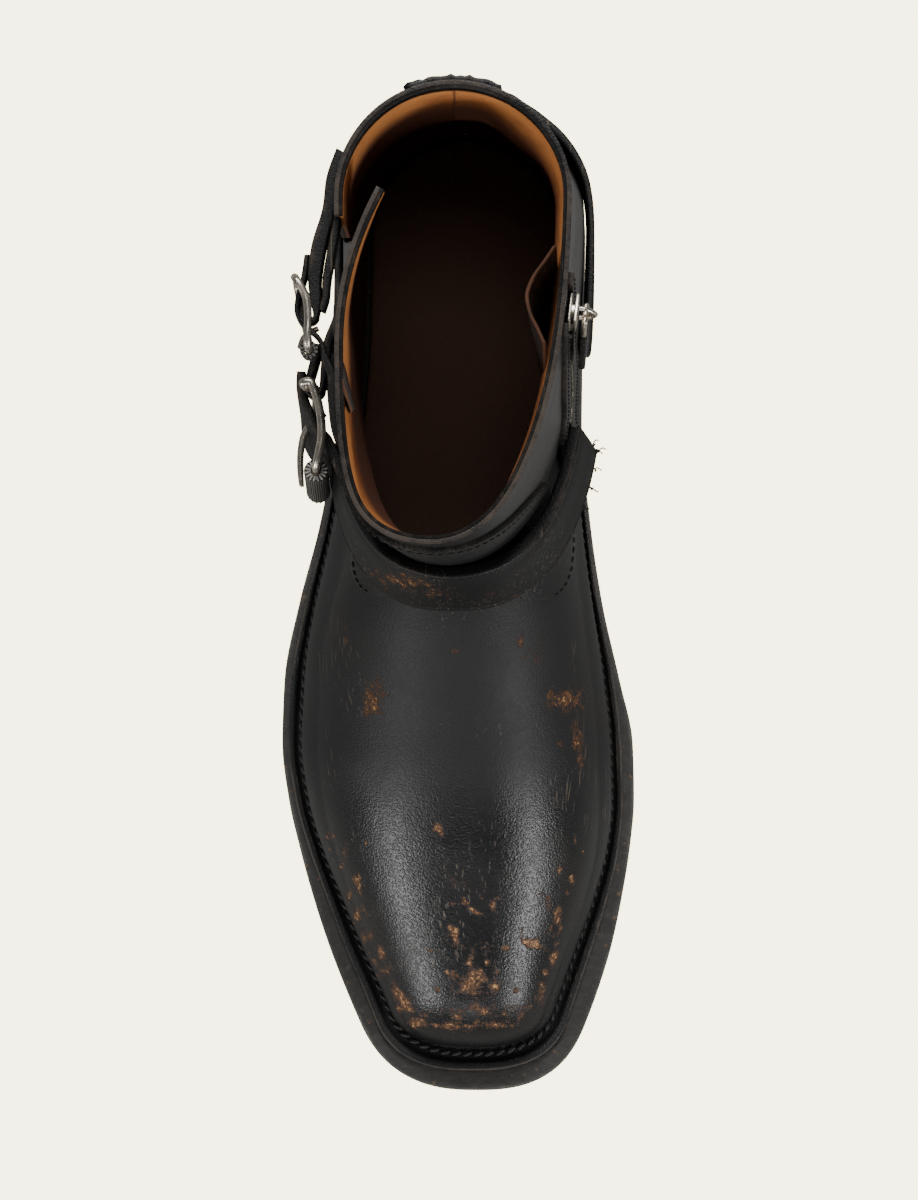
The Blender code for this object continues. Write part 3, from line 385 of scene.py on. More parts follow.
def refine(rows: Sequence[Sequence[float]], steps: int,
           closed: bool = False) -> list[tuple[float, ...]]:
    """More rows between those of a table, on a smooth curve through them.

    Args:
        rows: The table.
        steps: Rows made from each one.
        closed: True if the last row leads back to the first.

    Returns:
        The longer table.
    """
    made = []
    points = [tuple(row) for row in rows]
    if closed:
        points = [points[-1], *points, points[0], points[1]]
    else:
        first = tuple(2 * a - b for a, b in zip(points[0], points[1]))
        end = tuple(2 * a - b for a, b in zip(points[-1], points[-2]))
        points = [first, *points, end]
    for a, b, c, d in zip(points, points[1:], points[2:], points[3:]):
        pairs = ((a, b), (b, c), (c, d))
        before, length, after = (max(math.dist(u, v), 0.001) ** 0.5 for u, v in pairs)
        for step in range(steps):
            t = step / steps
            row = []
            for p, q, r, s in zip(a, b, c, d):
                leave = length * ((q - p) / before - (r - p) / (before + length) + (r - q) / length)
                enter = length * ((r - q) / length - (s - q) / (length + after) + (s - r) / after)
                bend = 2 * (q - r) + leave + enter
                row.append(q + leave * t + (3 * (r - q) - 2 * leave - enter) * t * t + bend * t**3)
            made.append(tuple(row))
    return made if closed else [*made, tuple(rows[-1])]


def refine_rings(rings: list[Ring], steps: int) -> list[Ring]:
    """More rings between those given, each corner on its own smooth curve.

    Args:
        rings: Rings of equal length.
        steps: Rings made from each one.

    Returns:
        The longer list of rings.
    """
    flat = [tuple(value for point in ring for value in point) for ring in rings]
    return [[Vector(row[k:k + 3]) for k in range(0, len(row), 3)] for row in refine(flat, steps)]


def vertex_layer(bm: Mesh, name: str) -> bmesh.types.BMLayerItem:
    """A layer of numbers at the mesh's vertices, made at its first use."""
    return bm.verts.layers.float.get(name) or bm.verts.layers.float.new(name)


def travel(points: Sequence[Vector]) -> list[float]:
    """How far along a line each of its points lies."""
    return [0.0, *accumulate((b - a).length for a, b in zip(points, points[1:]))]


def placed(middle: Vector, axes: tuple[Vector, Vector, Vector], size: Triple) -> Matrix:
    """A matrix that sizes a unit shape, turns it to three axes and moves it to its middle."""
    turn = Matrix(axes).transposed().to_4x4()
    return Matrix.Translation(middle) @ turn @ Matrix.Diagonal((*size, 1.0))


def raise_wall(bm: Mesh, move: Callable[[bmesh.types.BMVert], Vector]) -> None:
    """Extrudes a whole sheet, so that it gets a wall.

    Args:
        bm: The sheet.
        move: Gives the move of each vertex of the new face.
    """
    raised = bmesh.ops.extrude_face_region(bm, geom=bm.faces[:])
    for item in raised["geom"]:
        if isinstance(item, bmesh.types.BMVert):
            item.co += move(item)
    bmesh.ops.recalc_face_normals(bm, faces=bm.faces)


def soften(bm: Mesh, offset: float, segments: int = 2, degrees: float = 50) -> None:
    """Rounds the mesh's sharp edges over and marks them as rubbed.

    Args:
        bm: The mesh.
        offset: Width of the rounding.
        segments: Steps of the rounding.
        degrees: Edges that turn by more than this are sharp.
    """
    layer = vertex_layer(bm, "wear")
    sharp = [edge for edge in bm.edges
             if len(edge.link_faces) == 2 and edge.calc_face_angle() > math.radians(degrees)]
    for edge in sharp:
        for vert in edge.verts:
            vert[layer] = 1.0
    bmesh.ops.bevel(bm, geom=sharp, offset=offset, segments=segments, profile=0.5, affect="EDGES",
                    material=-1, clamp_overlap=True)


def close_up(bm: Mesh) -> None:
    """Merges doubles, closes open ends and turns the faces outward.

    Args:
        bm: The mesh.
    """
    bmesh.ops.remove_doubles(bm, verts=bm.verts, dist=MERGE)
    bmesh.ops.holes_fill(bm, edges=[edge for edge in bm.edges if edge.is_boundary], sides=0)
    bmesh.ops.recalc_face_normals(bm, faces=bm.faces)


def hand_over(bm: Mesh, name: str, finish: "Finish", slot: Slot,
              nodes: Sequence[str] = (), body: Body = Body.BOOT, smooth_angle: float = 40) -> None:
    """Writes a mesh as a finished piece of the boot.

    Args:
        bm: The mesh in millimetres, which is used up.
        name: The piece's name.
        finish: What dresses it.
        slot: The record's slot for the piece; not used.
        nodes: CAD nodes that it stands for.
        body: The body that it rides on.
        smooth_angle: Edges that turn by more degrees than this stay crisp.
    """
    bmesh.ops.scale(bm, vec=(MM, MM, MM), verts=bm.verts)
    mesh = bpy.data.meshes.new(name)
    bm.to_mesh(mesh)
    bm.free()
    mesh.materials.append(finish.material())
    mesh.shade_smooth()
    mesh.set_sharp_from_angle(angle=math.radians(smooth_angle))
    piece = bpy.data.objects.new(name, mesh)
    bpy.context.scene.collection.objects.link(piece)
    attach(piece, body.value)
    if nodes:
        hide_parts(*nodes)
    log.info("%s: %d faces", name, len(mesh.polygons))


def tree_of(names: Sequence[str]) -> BVHTree:
    """Rays, in millimetres, onto CAD nodes or finished pieces.

    Args:
        names: Their names.

    Returns:
        The tree.
    """
    bm = bmesh.new()
    for name in names:
        bm.from_mesh(bpy.data.objects[name].data)
    bmesh.ops.scale(bm, vec=(1 / MM, 1 / MM, 1 / MM), verts=bm.verts)
    tree = BVHTree.FromBMesh(bm)
    bm.free()
    return tree


class Wiring:
    """Adds nodes to a material or a group and joins their sockets."""

    def __init__(self, tree: bpy.types.NodeTree) -> None:
        """Keeps the tree to work in."""
        self.tree = tree

    def add(self, kind: str, inputs: dict | None = None, **settings: object) -> Node:
        """Adds one node.

        Args:
            kind: The node's type.
            inputs: Values or sockets, by input name or number.
            settings: The node's own settings.

        Returns:
            The node.
        """
        node = self.tree.nodes.new(kind)
        for name, value in settings.items():
            setattr(node, name, value)
        for key, value in (inputs or {}).items():
            self.feed(node.inputs[key], value)
        return node

    def feed(self, socket: Socket, value: object) -> None:
        """Sets a socket, or joins another one to it.

        Args:
            socket: The socket.
            value: A number, a colour or the socket to join.
        """
        if isinstance(value, Socket):
            self.tree.links.new(value, socket)
        elif socket.type == "RGBA" and len(value) == 3:
            socket.default_value = (*value, 1.0)
        else:
            socket.default_value = value

    def math(self, operation: str, a: object, b: object = 0.0) -> Socket:
        """The result of one sum on two values."""
        return self.add("ShaderNodeMath", {0: a, 1: b}, operation=operation).outputs[0]

    def times(self, a: object, b: object) -> Socket:
        """The product of two values."""
        return self.math("MULTIPLY", a, b)

    def plus(self, a: object, b: object) -> Socket:
        """The sum of two values."""
        return self.math("ADD", a, b)

    def minus(self, a: object, b: object) -> Socket:
        """What is left of one value after another is taken off."""
        return self.math("SUBTRACT", a, b)

    def blend(self, factor: object, a: object, b: object) -> Socket:
        """A colour between a and b."""
        return self.add("ShaderNodeMix", {0: factor, 6: a, 7: b}, data_type="RGBA").outputs[2]

    def step(self, value: object, low: float, high: float, start: float = 0.0,
             end: float = 1.0) -> Socket:
        """A soft step from start to end as the value goes from low to high."""
        node = self.add("ShaderNodeMapRange", {0: value, 1: low, 2: high, 3: start, 4: end},
                        interpolation_type="SMOOTHSTEP", clamp=True)
        return node.outputs[0]

    def noise(self, vector: object, scale: object, detail: float = 2.0,
              rough: float = 0.5) -> Socket:
        """Cloudy noise from 0 to 1."""
        given = {"Vector": vector, "Scale": scale, "Detail": detail, "Roughness": rough}
        return self.add("ShaderNodeTexNoise", given).outputs["Fac"]

    def attribute(self, name: str) -> Socket:
        """A value kept at the mesh's vertices."""
        return self.add("ShaderNodeAttribute", attribute_name=name).outputs["Fac"]

    def coordinates(self, stretch: Triple = (1.0, 1.0, 1.0)) -> Socket:
        """Places on the piece in metres, stretched along each axis."""
        places = self.add("ShaderNodeTexCoord").outputs["Object"]
        return self.add("ShaderNodeMapping", {"Vector": places, "Scale": stretch}).outputs[0]


class Effect(Enum):
    """Shader effects that several finishes share, each one a node group."""

    GRAIN = "leather_grain"
    RUB = "rubbed_edges"
    SCUFF = "scuff_marks"
    GRIME = "settled_grime"
    SCRATCH = "fine_scratches"

    def inputs(self) -> dict[str, float | None]:
        """The group's inputs, with None for a place on the piece."""
        return {
            Effect.GRAIN: {"Place": None, "Size": 900.0},
            Effect.RUB: {"Place": None, "Edge": 0.0, "Amount": 0.5},
            Effect.SCUFF: {"Place": None, "Marks": 0.0},
            Effect.GRIME: {"Place": None, "Size": 60.0, "Amount": 0.5},
            Effect.SCRATCH: {"Place": None, "Size": 60.0},
        }[self]

    def outputs(self) -> tuple[str, ...]:
        """The names of the group's outputs."""
        return {
            Effect.GRAIN: ("Height", "Pores"),
            Effect.RUB: ("Mask",),
            Effect.SCUFF: ("Rubbed", "Bare"),
            Effect.GRIME: ("Mask",),
            Effect.SCRATCH: ("Mask",),
        }[self]

    def group(self) -> bpy.types.NodeTree:
        """The node group, made at its first use.

        Returns:
            The group.
        """
        if self.value in bpy.data.node_groups:
            return bpy.data.node_groups[self.value]
        group = bpy.data.node_groups.new(self.value, "ShaderNodeTree")
        for name, default in self.inputs().items():
            kind = "NodeSocketVector" if default is None else "NodeSocketFloat"
            socket = group.interface.new_socket(name=name, in_out="INPUT", socket_type=kind)
            if default is not None:
                socket.default_value = default
        for name in self.outputs():
            group.interface.new_socket(name=name, in_out="OUTPUT", socket_type="NodeSocketFloat")
        wiring = Wiring(group)
        given = wiring.add("NodeGroupInput").outputs
        drawn = getattr(self, "draw_" + self.name.lower())(wiring, given)
        wiring.add("NodeGroupOutput", dict(zip(self.outputs(), drawn)))
        return group

    def draw_grain(self, w: Wiring, given: bpy.types.bpy_prop_collection) -> tuple:
        """Pebbled leather grain.

        Args:
            w: Wiring of the group.
            given: The group's inputs.

        Returns:
            Height and pores.
        """
        size = given["Size"]
        bent = w.noise(given["Place"], w.times(size, 0.4), 2.0)
        shift = w.add("ShaderNodeCombineXYZ", {0: w.times(bent, 0.0009), 2: w.times(bent, 0.0007)})
        moved = w.add("ShaderNodeVectorMath", {0: given["Place"], 1: shift.outputs[0]},
                      operation="ADD").outputs[0]
        cells = w.add("ShaderNodeTexVoronoi", {"Vector": moved, "Scale": size, "Smoothness": 0.4},
                      feature="SMOOTH_F1").outputs["Distance"]
        fine = w.noise(given["Place"], w.times(size, 3.1), 3.0, 0.6)
        pebble = w.step(cells, 0.1, 0.75, 1.0, 0.0)
        height = w.plus(w.times(pebble, 0.7), w.times(fine, 0.3))
        return height, w.step(fine, 0.62, 0.72)

    def draw_rub(self, w: Wiring, given: bpy.types.bpy_prop_collection) -> tuple:
        """Finish rubbed off along edges.

        Args:
            w: Wiring of the group.
            given: The group's inputs.

        Returns:
            The mask.
        """
        broken = w.noise(given["Place"], 260.0, 5.0, 0.65)
        patchy = w.noise(given["Place"], 34.0, 2.0)
        need = w.minus(1.5, w.times(given["Amount"], w.times(patchy, 1.8)))
        over = w.minus(w.plus(given["Edge"], w.times(broken, 0.7)), need)
        return (w.step(over, 0.0, 0.35),)

    def draw_scuff(self, w: Wiring, given: bpy.types.bpy_prop_collection) -> tuple:
        """Speckled scuffs where marks are charted.

        Args:
            w: Wiring of the group.
            given: The group's inputs.

        Returns:
            The rubbed mask and the barer, brighter flecks in it.
        """
        speck = w.noise(given["Place"], 1050.0, 5.0, 0.78)
        blot = w.noise(given["Place"], 250.0, 3.0, 0.6)
        broken = w.plus(w.times(speck, 1.9), w.times(blot, 1.3))
        over = w.plus(w.times(given["Marks"], 0.68), w.minus(broken, 2.02))
        rubbed = w.step(over, 0.0, 0.34)
        bare = w.times(w.step(over, 0.3, 0.62), w.step(speck, 0.48, 0.6))
        return rubbed, bare

    def draw_grime(self, w: Wiring, given: bpy.types.bpy_prop_collection) -> tuple:
        """Uneven dirt.

        Args:
            w: Wiring of the group.
            given: The group's inputs.

        Returns:
            The mask.
        """
        cloud = w.noise(given["Place"], given["Size"], 6.0, 0.65)
        return (w.times(w.step(cloud, 0.42, 0.68), given["Amount"]),)

    def draw_scratch(self, w: Wiring, given: bpy.types.bpy_prop_collection) -> tuple:
        """Thin pale lines at odd angles.

        Args:
            w: Wiring of the group.
            given: The group's inputs.

        Returns:
            The mask.
        """
        lines = None
        for turn, seed in ((0.5, 1.0), (2.2, 7.0)):
            turned = w.add("ShaderNodeMapping", {
                "Vector": given["Place"], "Rotation": (0.3 * turn, 0.2, turn),
                "Scale": (1.0, 0.022, 1.0), "Location": (seed, seed, 0.0)})
            streak = w.noise(turned.outputs[0], w.times(given["Size"], 36.0), 1.0)
            thin = w.step(streak, 0.665, 0.72)
            here = w.step(w.noise(given["Place"], given["Size"], 2.0), 0.48, 0.62)
            mark = w.times(thin, here)
            lines = mark if lines is None else w.math("MAXIMUM", lines, mark)
        return (lines,)

    def place(self, w: Wiring, **inputs: object) -> Node:
        """Puts the effect into a material.

        Args:
            w: Wiring of the material.
            inputs: Values or sockets, by input name.

        Returns:
            The group's node.
        """
        return w.add("ShaderNodeGroup", inputs, node_tree=self.group())


@dataclass(frozen=True)
class Finish:
    """What dresses a piece. Each kind of finish wires its own shader."""

    name: str

    def material(self) -> bpy.types.Material:
        """The finish's material, made at its first use.

        Returns:
            The material.
        """
        if self.name in bpy.data.materials:
            return bpy.data.materials[self.name]
        made = bpy.data.materials.new(self.name)
        made.use_nodes = True
        wiring = Wiring(made.node_tree)
        self.wire(wiring, made.node_tree.nodes["Principled BSDF"])
        return made

    def wire(self, w: Wiring, shader: Node) -> None:
        """Feeds the shader; each kind of finish has its own."""
        raise NotImplementedError

    def bump(self, w: Wiring, shader: Node, height: object, distance: float) -> None:
        """Feeds a height to the shader's normal.

        Args:
            w: Wiring of the material.
            shader: The shader.
            height: The height, from 0 to 1.
            distance: What a height of 1 stands for, in metres.
        """
        node = w.add("ShaderNodeBump", {"Height": height, "Distance": distance, "Strength": 1.0})
        w.feed(shader.inputs["Normal"], node.outputs[0])


@dataclass(frozen=True)
class BlackLeather(Finish):
    """Black pull-up leather, browner where it is rubbed and tan where it is scuffed through."""

    colour: Colour = shade(15, 15, 16)
    brown: Colour = shade(26, 22, 20)
    worn: Colour = shade(74, 62, 52)
    rust: Colour = shade(100, 64, 36)
    bare: Colour = shade(204, 156, 106)
    roughness: float = 0.33
    grain: float = 1500.0
    relief: float = 0.0001
    edge_wear: float = 0.4
    shine: float = 0.5
    scored: Colour = shade(112, 100, 86)

    def wire(self, w: Wiring, shader: Node) -> None:
        """Feeds the shader.

        Args:
            w: Wiring of the material.
            shader: The shader.
        """
        place = w.coordinates()
        grain = Effect.GRAIN.place(w, Place=place, Size=self.grain)
        wear = w.attribute("wear")
        rub = Effect.RUB.place(w, Place=place, Edge=wear, Amount=self.edge_wear).outputs[0]
        scuff = Effect.SCUFF.place(w, Place=place, Marks=w.attribute("scuff"))
        grime = Effect.GRIME.place(w, Place=place, Size=38.0, Amount=0.8).outputs[0]
        scratch = Effect.SCRATCH.place(w, Place=place, Size=32.0).outputs[0]
        base = w.blend(grime, self.colour, self.brown)
        base = w.blend(w.times(scratch, 0.5), base, self.scored)
        base = w.blend(w.times(rub, 0.75), base, self.worn)
        base = w.blend(w.times(scuff.outputs["Rubbed"], 0.85), base, self.rust)
        base = w.blend(scuff.outputs["Bare"], base, self.bare)
        w.feed(shader.inputs["Base Color"], base)
        dull = w.math("MAXIMUM", w.times(rub, 0.6), scuff.outputs["Rubbed"])
        shader.inputs["Specular IOR Level"].default_value = self.shine
        rough = w.plus(self.roughness, w.times(grime, 0.08))
        rough = w.plus(rough, w.times(w.attribute("matt"), 0.24))
        rough = w.plus(rough, w.times(dull, 0.3))
        rough = w.plus(rough, w.times(grain.outputs["Pores"], 0.1))
        w.feed(shader.inputs["Roughness"], rough)
        height = w.plus(w.times(grain.outputs["Height"], 0.8), w.noise(place, 60.0, 1.0))
        height = w.minus(height, w.times(scuff.outputs["Rubbed"], 0.5))
        height = w.minus(height, w.times(scratch, 0.5))
        self.bump(w, shader, height, self.relief)


@dataclass(frozen=True)
class SuedeLining(Finish):
    """Tan lining leather, with painted shade that darkens it deep inside the boot."""

    colour: Colour = shade(202, 130, 66)
    # Colour of the painted shade deep inside the boot, and of the darkened back seam.
    deep: Colour = shade(100, 60, 40)
    stain: Colour = shade(150, 84, 38)
    # Heights in metres: the painted shade is gone above the first and full below the second.
    bright_from: float = 0.178
    dark_from: float = 0.15
    seam_x: float = -0.0034
    seam_from: float = 0.012

    def wire(self, w: Wiring, shader: Node) -> None:
        """Feeds the shader.

        Args:
            w: Wiring of the material.
            shader: The shader.
        """
        place = w.coordinates()
        across, along, height = w.add("ShaderNodeSeparateXYZ", {0: place}).outputs
        # Painted shade: the lining darkens towards the bottom of the boot.
        deep = w.step(height, self.dark_from, self.bright_from, 1.0, 0.0)
        aside = w.math("ABSOLUTE", w.minus(across, self.seam_x))
        seam = w.times(w.step(aside, 0.00015, 0.0005, 1.0, 0.0),
                      w.step(along, self.seam_from, self.seam_from + 0.002))
        grime = Effect.GRIME.place(w, Place=place, Size=70.0, Amount=0.6).outputs[0]
        base = w.blend(grime, self.colour, self.stain)
        base = w.blend(w.times(seam, 0.75), base, self.deep)
        # The painted shade darkens the lining deep inside the boot.
        w.feed(shader.inputs["Base Color"], w.blend(deep, base, self.deep))
        nap = w.noise(place, 1500.0, 4.0, 0.7)
        w.feed(shader.inputs["Roughness"], w.plus(0.7, w.times(nap, 0.2)))
        nap = w.plus(nap, w.noise(place, 120.0, 3.0))
        nap = w.minus(nap, w.times(seam, 2.0))
        self.bump(w, shader, nap, 0.00012)


@dataclass(frozen=True)
class SoleLeather(Finish):
    """Stacked sole leather, dark dressed on its edges, with layers, a worn tread and rubbed edges
    whose paleness is partly a painted highlight.
    """

    colour: Colour = shade(50, 48, 46)
    # Paler leather of the layers and the rubbed edges, made lighter still as a painted highlight on
    # the bevelled edges.
    pale: Colour = shade(86, 83, 78)
    tread: Colour = shade(120, 92, 66)

    def wire(self, w: Wiring, shader: Node) -> None:
        """Feeds the shader.

        Args:
            w: Wiring of the material.
            shader: The shader.
        """
        place = w.coordinates()
        fibre = w.noise(w.coordinates((1.0, 1.0, 9.0)), 240.0, 5.0, 0.65)
        rub = Effect.RUB.place(w, Place=place, Edge=w.attribute("wear"), Amount=0.45).outputs[0]
        grime = Effect.GRIME.place(w, Place=place, Size=55.0, Amount=0.7).outputs[0]
        base = w.blend(w.step(fibre, 0.35, 0.75, 0.0, 0.4), self.colour, self.pale)
        # Rubbed edges: real wear, with a painted highlight in their lightness.
        base = w.blend(rub, base, self.pale)
        flecks = w.step(w.noise(place, 420.0, 3.0), 0.64, 0.72)
        base = w.blend(w.times(flecks, 0.6), base, self.tread)
        facing = w.add("ShaderNodeNewGeometry").outputs["Normal"]
        down = w.add("ShaderNodeSeparateXYZ", {0: facing}).outputs[2]
        base = w.blend(w.step(down, -0.7, -0.95), base, w.blend(grime, self.tread, self.colour))
        w.feed(shader.inputs["Base Color"], base)
        w.feed(shader.inputs["Roughness"], w.plus(0.52, w.times(fibre, 0.25)))
        self.bump(w, shader, w.plus(fibre, w.noise(place, 900.0, 3.0)), 0.0001)


@dataclass(frozen=True)
class HeelRubber(Finish):
    """Black rubber of the heel's tread."""

    colour: Colour = shade(30, 29, 28)
    dusty: Colour = shade(74, 70, 64)

    def wire(self, w: Wiring, shader: Node) -> None:
        """Feeds the shader.

        Args:
            w: Wiring of the material.
            shader: The shader.
        """
        place = w.coordinates()
        grime = Effect.GRIME.place(w, Place=place, Size=90.0, Amount=0.7).outputs[0]
        w.feed(shader.inputs["Base Color"], w.blend(grime, self.colour, self.dusty))
        w.feed(shader.inputs["Roughness"], w.plus(0.7, w.times(grime, 0.2)))
        self.bump(w, shader, w.noise(place, 1400.0, 4.0, 0.6), 0.0001)


@dataclass(frozen=True)
class AgedMetal(Finish):
    """Nickel-plated steel, dull in its hollows and bright where it is handled."""

    colour: Colour = shade(222, 212, 196)
    dark: Colour = shade(52, 46, 40)
    roughness: float = 0.27
    tarnish: float = 0.55

    def wire(self, w: Wiring, shader: Node) -> None:
        """Feeds the shader.

        Args:
            w: Wiring of the material.
            shader: The shader.
        """
        place = w.coordinates()
        grime = Effect.GRIME.place(w, Place=place, Size=210.0, Amount=self.tarnish).outputs[0]
        scratch = Effect.SCRATCH.place(w, Place=place, Size=240.0).outputs[0]
        hollow = w.math("MAXIMUM", grime, w.attribute("hollow"))
        w.feed(shader.inputs["Base Color"], w.blend(hollow, self.colour, self.dark))
        rough = w.plus(self.roughness, w.times(hollow, 0.3))
        w.feed(shader.inputs["Roughness"], w.plus(rough, w.times(scratch, 0.2)))
        w.feed(shader.inputs["Metallic"], w.minus(1.0, w.times(hollow, 0.35)))
        dings = w.minus(w.noise(place, 300.0, 4.0), w.times(scratch, 0.4))
        self.bump(w, shader, dings, 0.00008)


@dataclass(frozen=True)
class Thread(Finish):
    """Waxed linen thread, twisted along its length."""

    colour: Colour = shade(30, 29, 29)
    pale: Colour = shade(70, 64, 58)

    def wire(self, w: Wiring, shader: Node) -> None:
        """Feeds the shader.

        Args:
            w: Wiring of the material.
            shader: The shader.
        """
        place = w.coordinates((1.0, 1.0, 2.5))
        twist = w.noise(place, 1700.0, 3.0, 0.6)
        base = w.blend(w.step(twist, 0.5, 0.75), self.colour, self.pale)
        w.feed(shader.inputs["Base Color"], base)
        w.feed(shader.inputs["Roughness"], w.plus(0.5, w.times(twist, 0.3)))
        self.bump(w, shader, twist, 0.0002)


@dataclass(frozen=True)
class Finishes:
    """Every finish on the boot."""

    upper: Finish = BlackLeather("upper_black_leather")
    strap: Finish = BlackLeather("strap_black_leather", colour=shade(18, 18, 18), roughness=0.44,
                                 relief=0.00009, edge_wear=0.25, shine=0.36)
    overlay: Finish = BlackLeather("overlay_black_leather", roughness=0.45, edge_wear=0.3)
    rim: Finish = BlackLeather("collar_edge_leather", colour=shade(13, 12, 11), roughness=0.55,
                               edge_wear=0.2, shine=0.2)
    welt: Finish = BlackLeather("welt_black_leather", colour=shade(15, 15, 15), roughness=0.5,
                                grain=1300.0, worn=shade(84, 76, 68), edge_wear=0.5)
    guard: Finish = BlackLeather("guard_brown_leather", colour=shade(26, 18, 14),
                                 brown=shade(34, 22, 16), worn=shade(96, 58, 34), roughness=0.65,
                                 edge_wear=0.6)
    lining: Finish = SuedeLining("tan_lining")
    insole: Finish = SuedeLining("insole_leather", colour=shade(112, 86, 70),
                                 deep=shade(112, 86, 70))
    sole: Finish = SoleLeather("sole_edge_leather")
    stack: Finish = SoleLeather("heel_stack_leather", colour=shade(38, 34, 31),
                                pale=shade(78, 68, 58))
    rubber: Finish = HeelRubber("heel_tread_rubber")
    nickel: Finish = AgedMetal("aged_nickel")
    dark_steel: Finish = AgedMetal("knurled_dark_steel", colour=shade(140, 137, 130),
                                   dark=shade(24, 24, 24), roughness=0.3, tarnish=0.35)
    teeth: Finish = AgedMetal("zip_teeth_metal", colour=shade(112, 108, 100), roughness=0.4,
                              tarnish=0.8)
    thread: Finish = Thread("black_thread")


@dataclass(frozen=True)
class PhotoView:
    """The photograph's camera, straight above the boot."""

    height: float = 1500.0
    centre_x: float = -2.0
    centre_y: float = -114.0
    focal: float = 4650.0
    width: int = 918
    rows: int = 1200
    sensor: float = 36.0

    def camera(self) -> None:
        """Makes the scene's camera."""
        data = bpy.data.cameras.new("photo_camera")
        data.sensor_width = self.sensor
        data.lens = self.sensor * self.focal / self.rows
        data.clip_start, data.clip_end = 0.05, 20.0
        camera = bpy.data.objects.new("photo_camera", data)
        camera.location = (self.centre_x * MM, self.centre_y * MM, self.height * MM)
        bpy.context.scene.collection.objects.link(camera)
        bpy.context.scene.camera = camera

    def pixel(self, place: Vector) -> tuple[float, float]:
        """Where a place shows in the picture, in pixels from its left and its top."""
        scale = self.focal / (self.height - place.z)
        return (self.width / 2 + (place.x - self.centre_x) * scale,
                self.rows / 2 - (place.y - self.centre_y) * scale)


@dataclass(frozen=True)
class Softbox:
    """A soft light with a rectangular face."""

    place: Triple
    aim: Triple
    size: tuple[float, float]
    power: float

    def hang(self, name: str) -> None:
        """Adds the light to the scene.

        Args:
            name: The light's name.
        """
        data = bpy.data.lights.new(name, "AREA")
        data.shape = "RECTANGLE"
        data.size, data.size_y = self.size
        data.energy = self.power
        light = bpy.data.objects.new(name, data)
        light.location = self.place
        way = Vector(self.aim) - Vector(self.place)
        light.rotation_euler = way.to_track_quat("-Z", "Y").to_euler()
        bpy.context.scene.collection.objects.link(light)


@dataclass(frozen=True)
class Studio:
    """A plain pale floor, and soft light from both sides, the toe, above and behind.

    The camera sees the floor's glow. Everything else gets a weaker, neutral spill from it, which
    fades with the distance from the boot.
    """

    floor: Colour = shade(243, 232, 196)
    floor_size: float = 6.0
    floor_share: float = 0.05
    glow: float = 6.9
    spill_colour: Colour = (0.8, 0.8, 0.8)
    spill: float = 0.36
    far_spill: float = 0.1
    spill_fades: tuple[float, float] = (0.25, 0.8)
    sky: Colour = (0.9, 0.95, 1.0)
    ambient: float = 0.1
    boxes: tuple[Softbox, ...] = (
        Softbox((-0.92, -0.88, 0.54), (0.0, -0.2, 0.05), (0.26, 0.28), 6.9),
        Softbox((0.88, -0.84, 0.64), (0.0, -0.2, 0.05), (0.26, 0.28), 8.6),
        Softbox((-0.15, -1.25, 0.72), (0.0, -0.13, 0.08), (0.3, 0.4), 2.7),
        Softbox((0.02, 0.3, 1.3), (0.0, -0.02, 0.0), (0.3, 0.3), 1.4),
        Softbox((0.0, 0.85, 1.0), (0.0, -0.05, 0.1), (0.9, 0.4), 14.0),
    )

    def build(self) -> None:
        """Makes the floor, the sky's soft light and the softboxes."""
        self.lay_floor()
        world = bpy.data.worlds.new("studio")
        world.use_nodes = True
        sky = world.node_tree.nodes["Background"]
        sky.inputs["Color"].default_value = (*self.sky, 1.0)
        sky.inputs["Strength"].default_value = self.ambient
        bpy.context.scene.world = world
        for i, box in enumerate(self.boxes):
            box.hang(f"softbox_{i}")

    def lay_floor(self) -> None:
        """Makes the floor and its glow."""
        bm = bmesh.new()
        bmesh.ops.create_grid(bm, x_segments=1, y_segments=1, size=self.floor_size)
        mesh = bpy.data.meshes.new("studio_floor")
        bm.to_mesh(mesh)
        bm.free()
        made = bpy.data.materials.new("studio_floor")
        made.use_nodes = True
        shader = made.node_tree.nodes["Principled BSDF"]
        paint = [value * self.floor_share for value in self.floor]
        shader.inputs["Base Color"].default_value = (*paint, 1.0)
        shader.inputs["Roughness"].default_value = 0.9
        w = Wiring(made.node_tree)
        seen = w.add("ShaderNodeLightPath").outputs["Is Camera Ray"]
        length = w.add("ShaderNodeVectorMath", {0: w.coordinates()}, operation="LENGTH")
        away = length.outputs["Value"]
        spill = w.step(away, *self.spill_fades, self.spill, self.far_spill)
        strength = w.plus(w.times(spill, w.minus(1.0, seen)), w.times(seen, self.glow))
        w.feed(shader.inputs["Emission Strength"], strength)
        w.feed(shader.inputs["Emission Color"], w.blend(seen, self.spill_colour, self.floor))
        mesh.materials.append(made)
        floor = bpy.data.objects.new("studio_floor", mesh)
        bpy.context.scene.collection.objects.link(floor)


@dataclass(frozen=True)
class Mark:
    """A scuff charted on the photograph: its middle, half sizes in pixels, turn and strength."""

    px: float
    py: float
    wide: float
    high: float
    turn: float
    strength: float


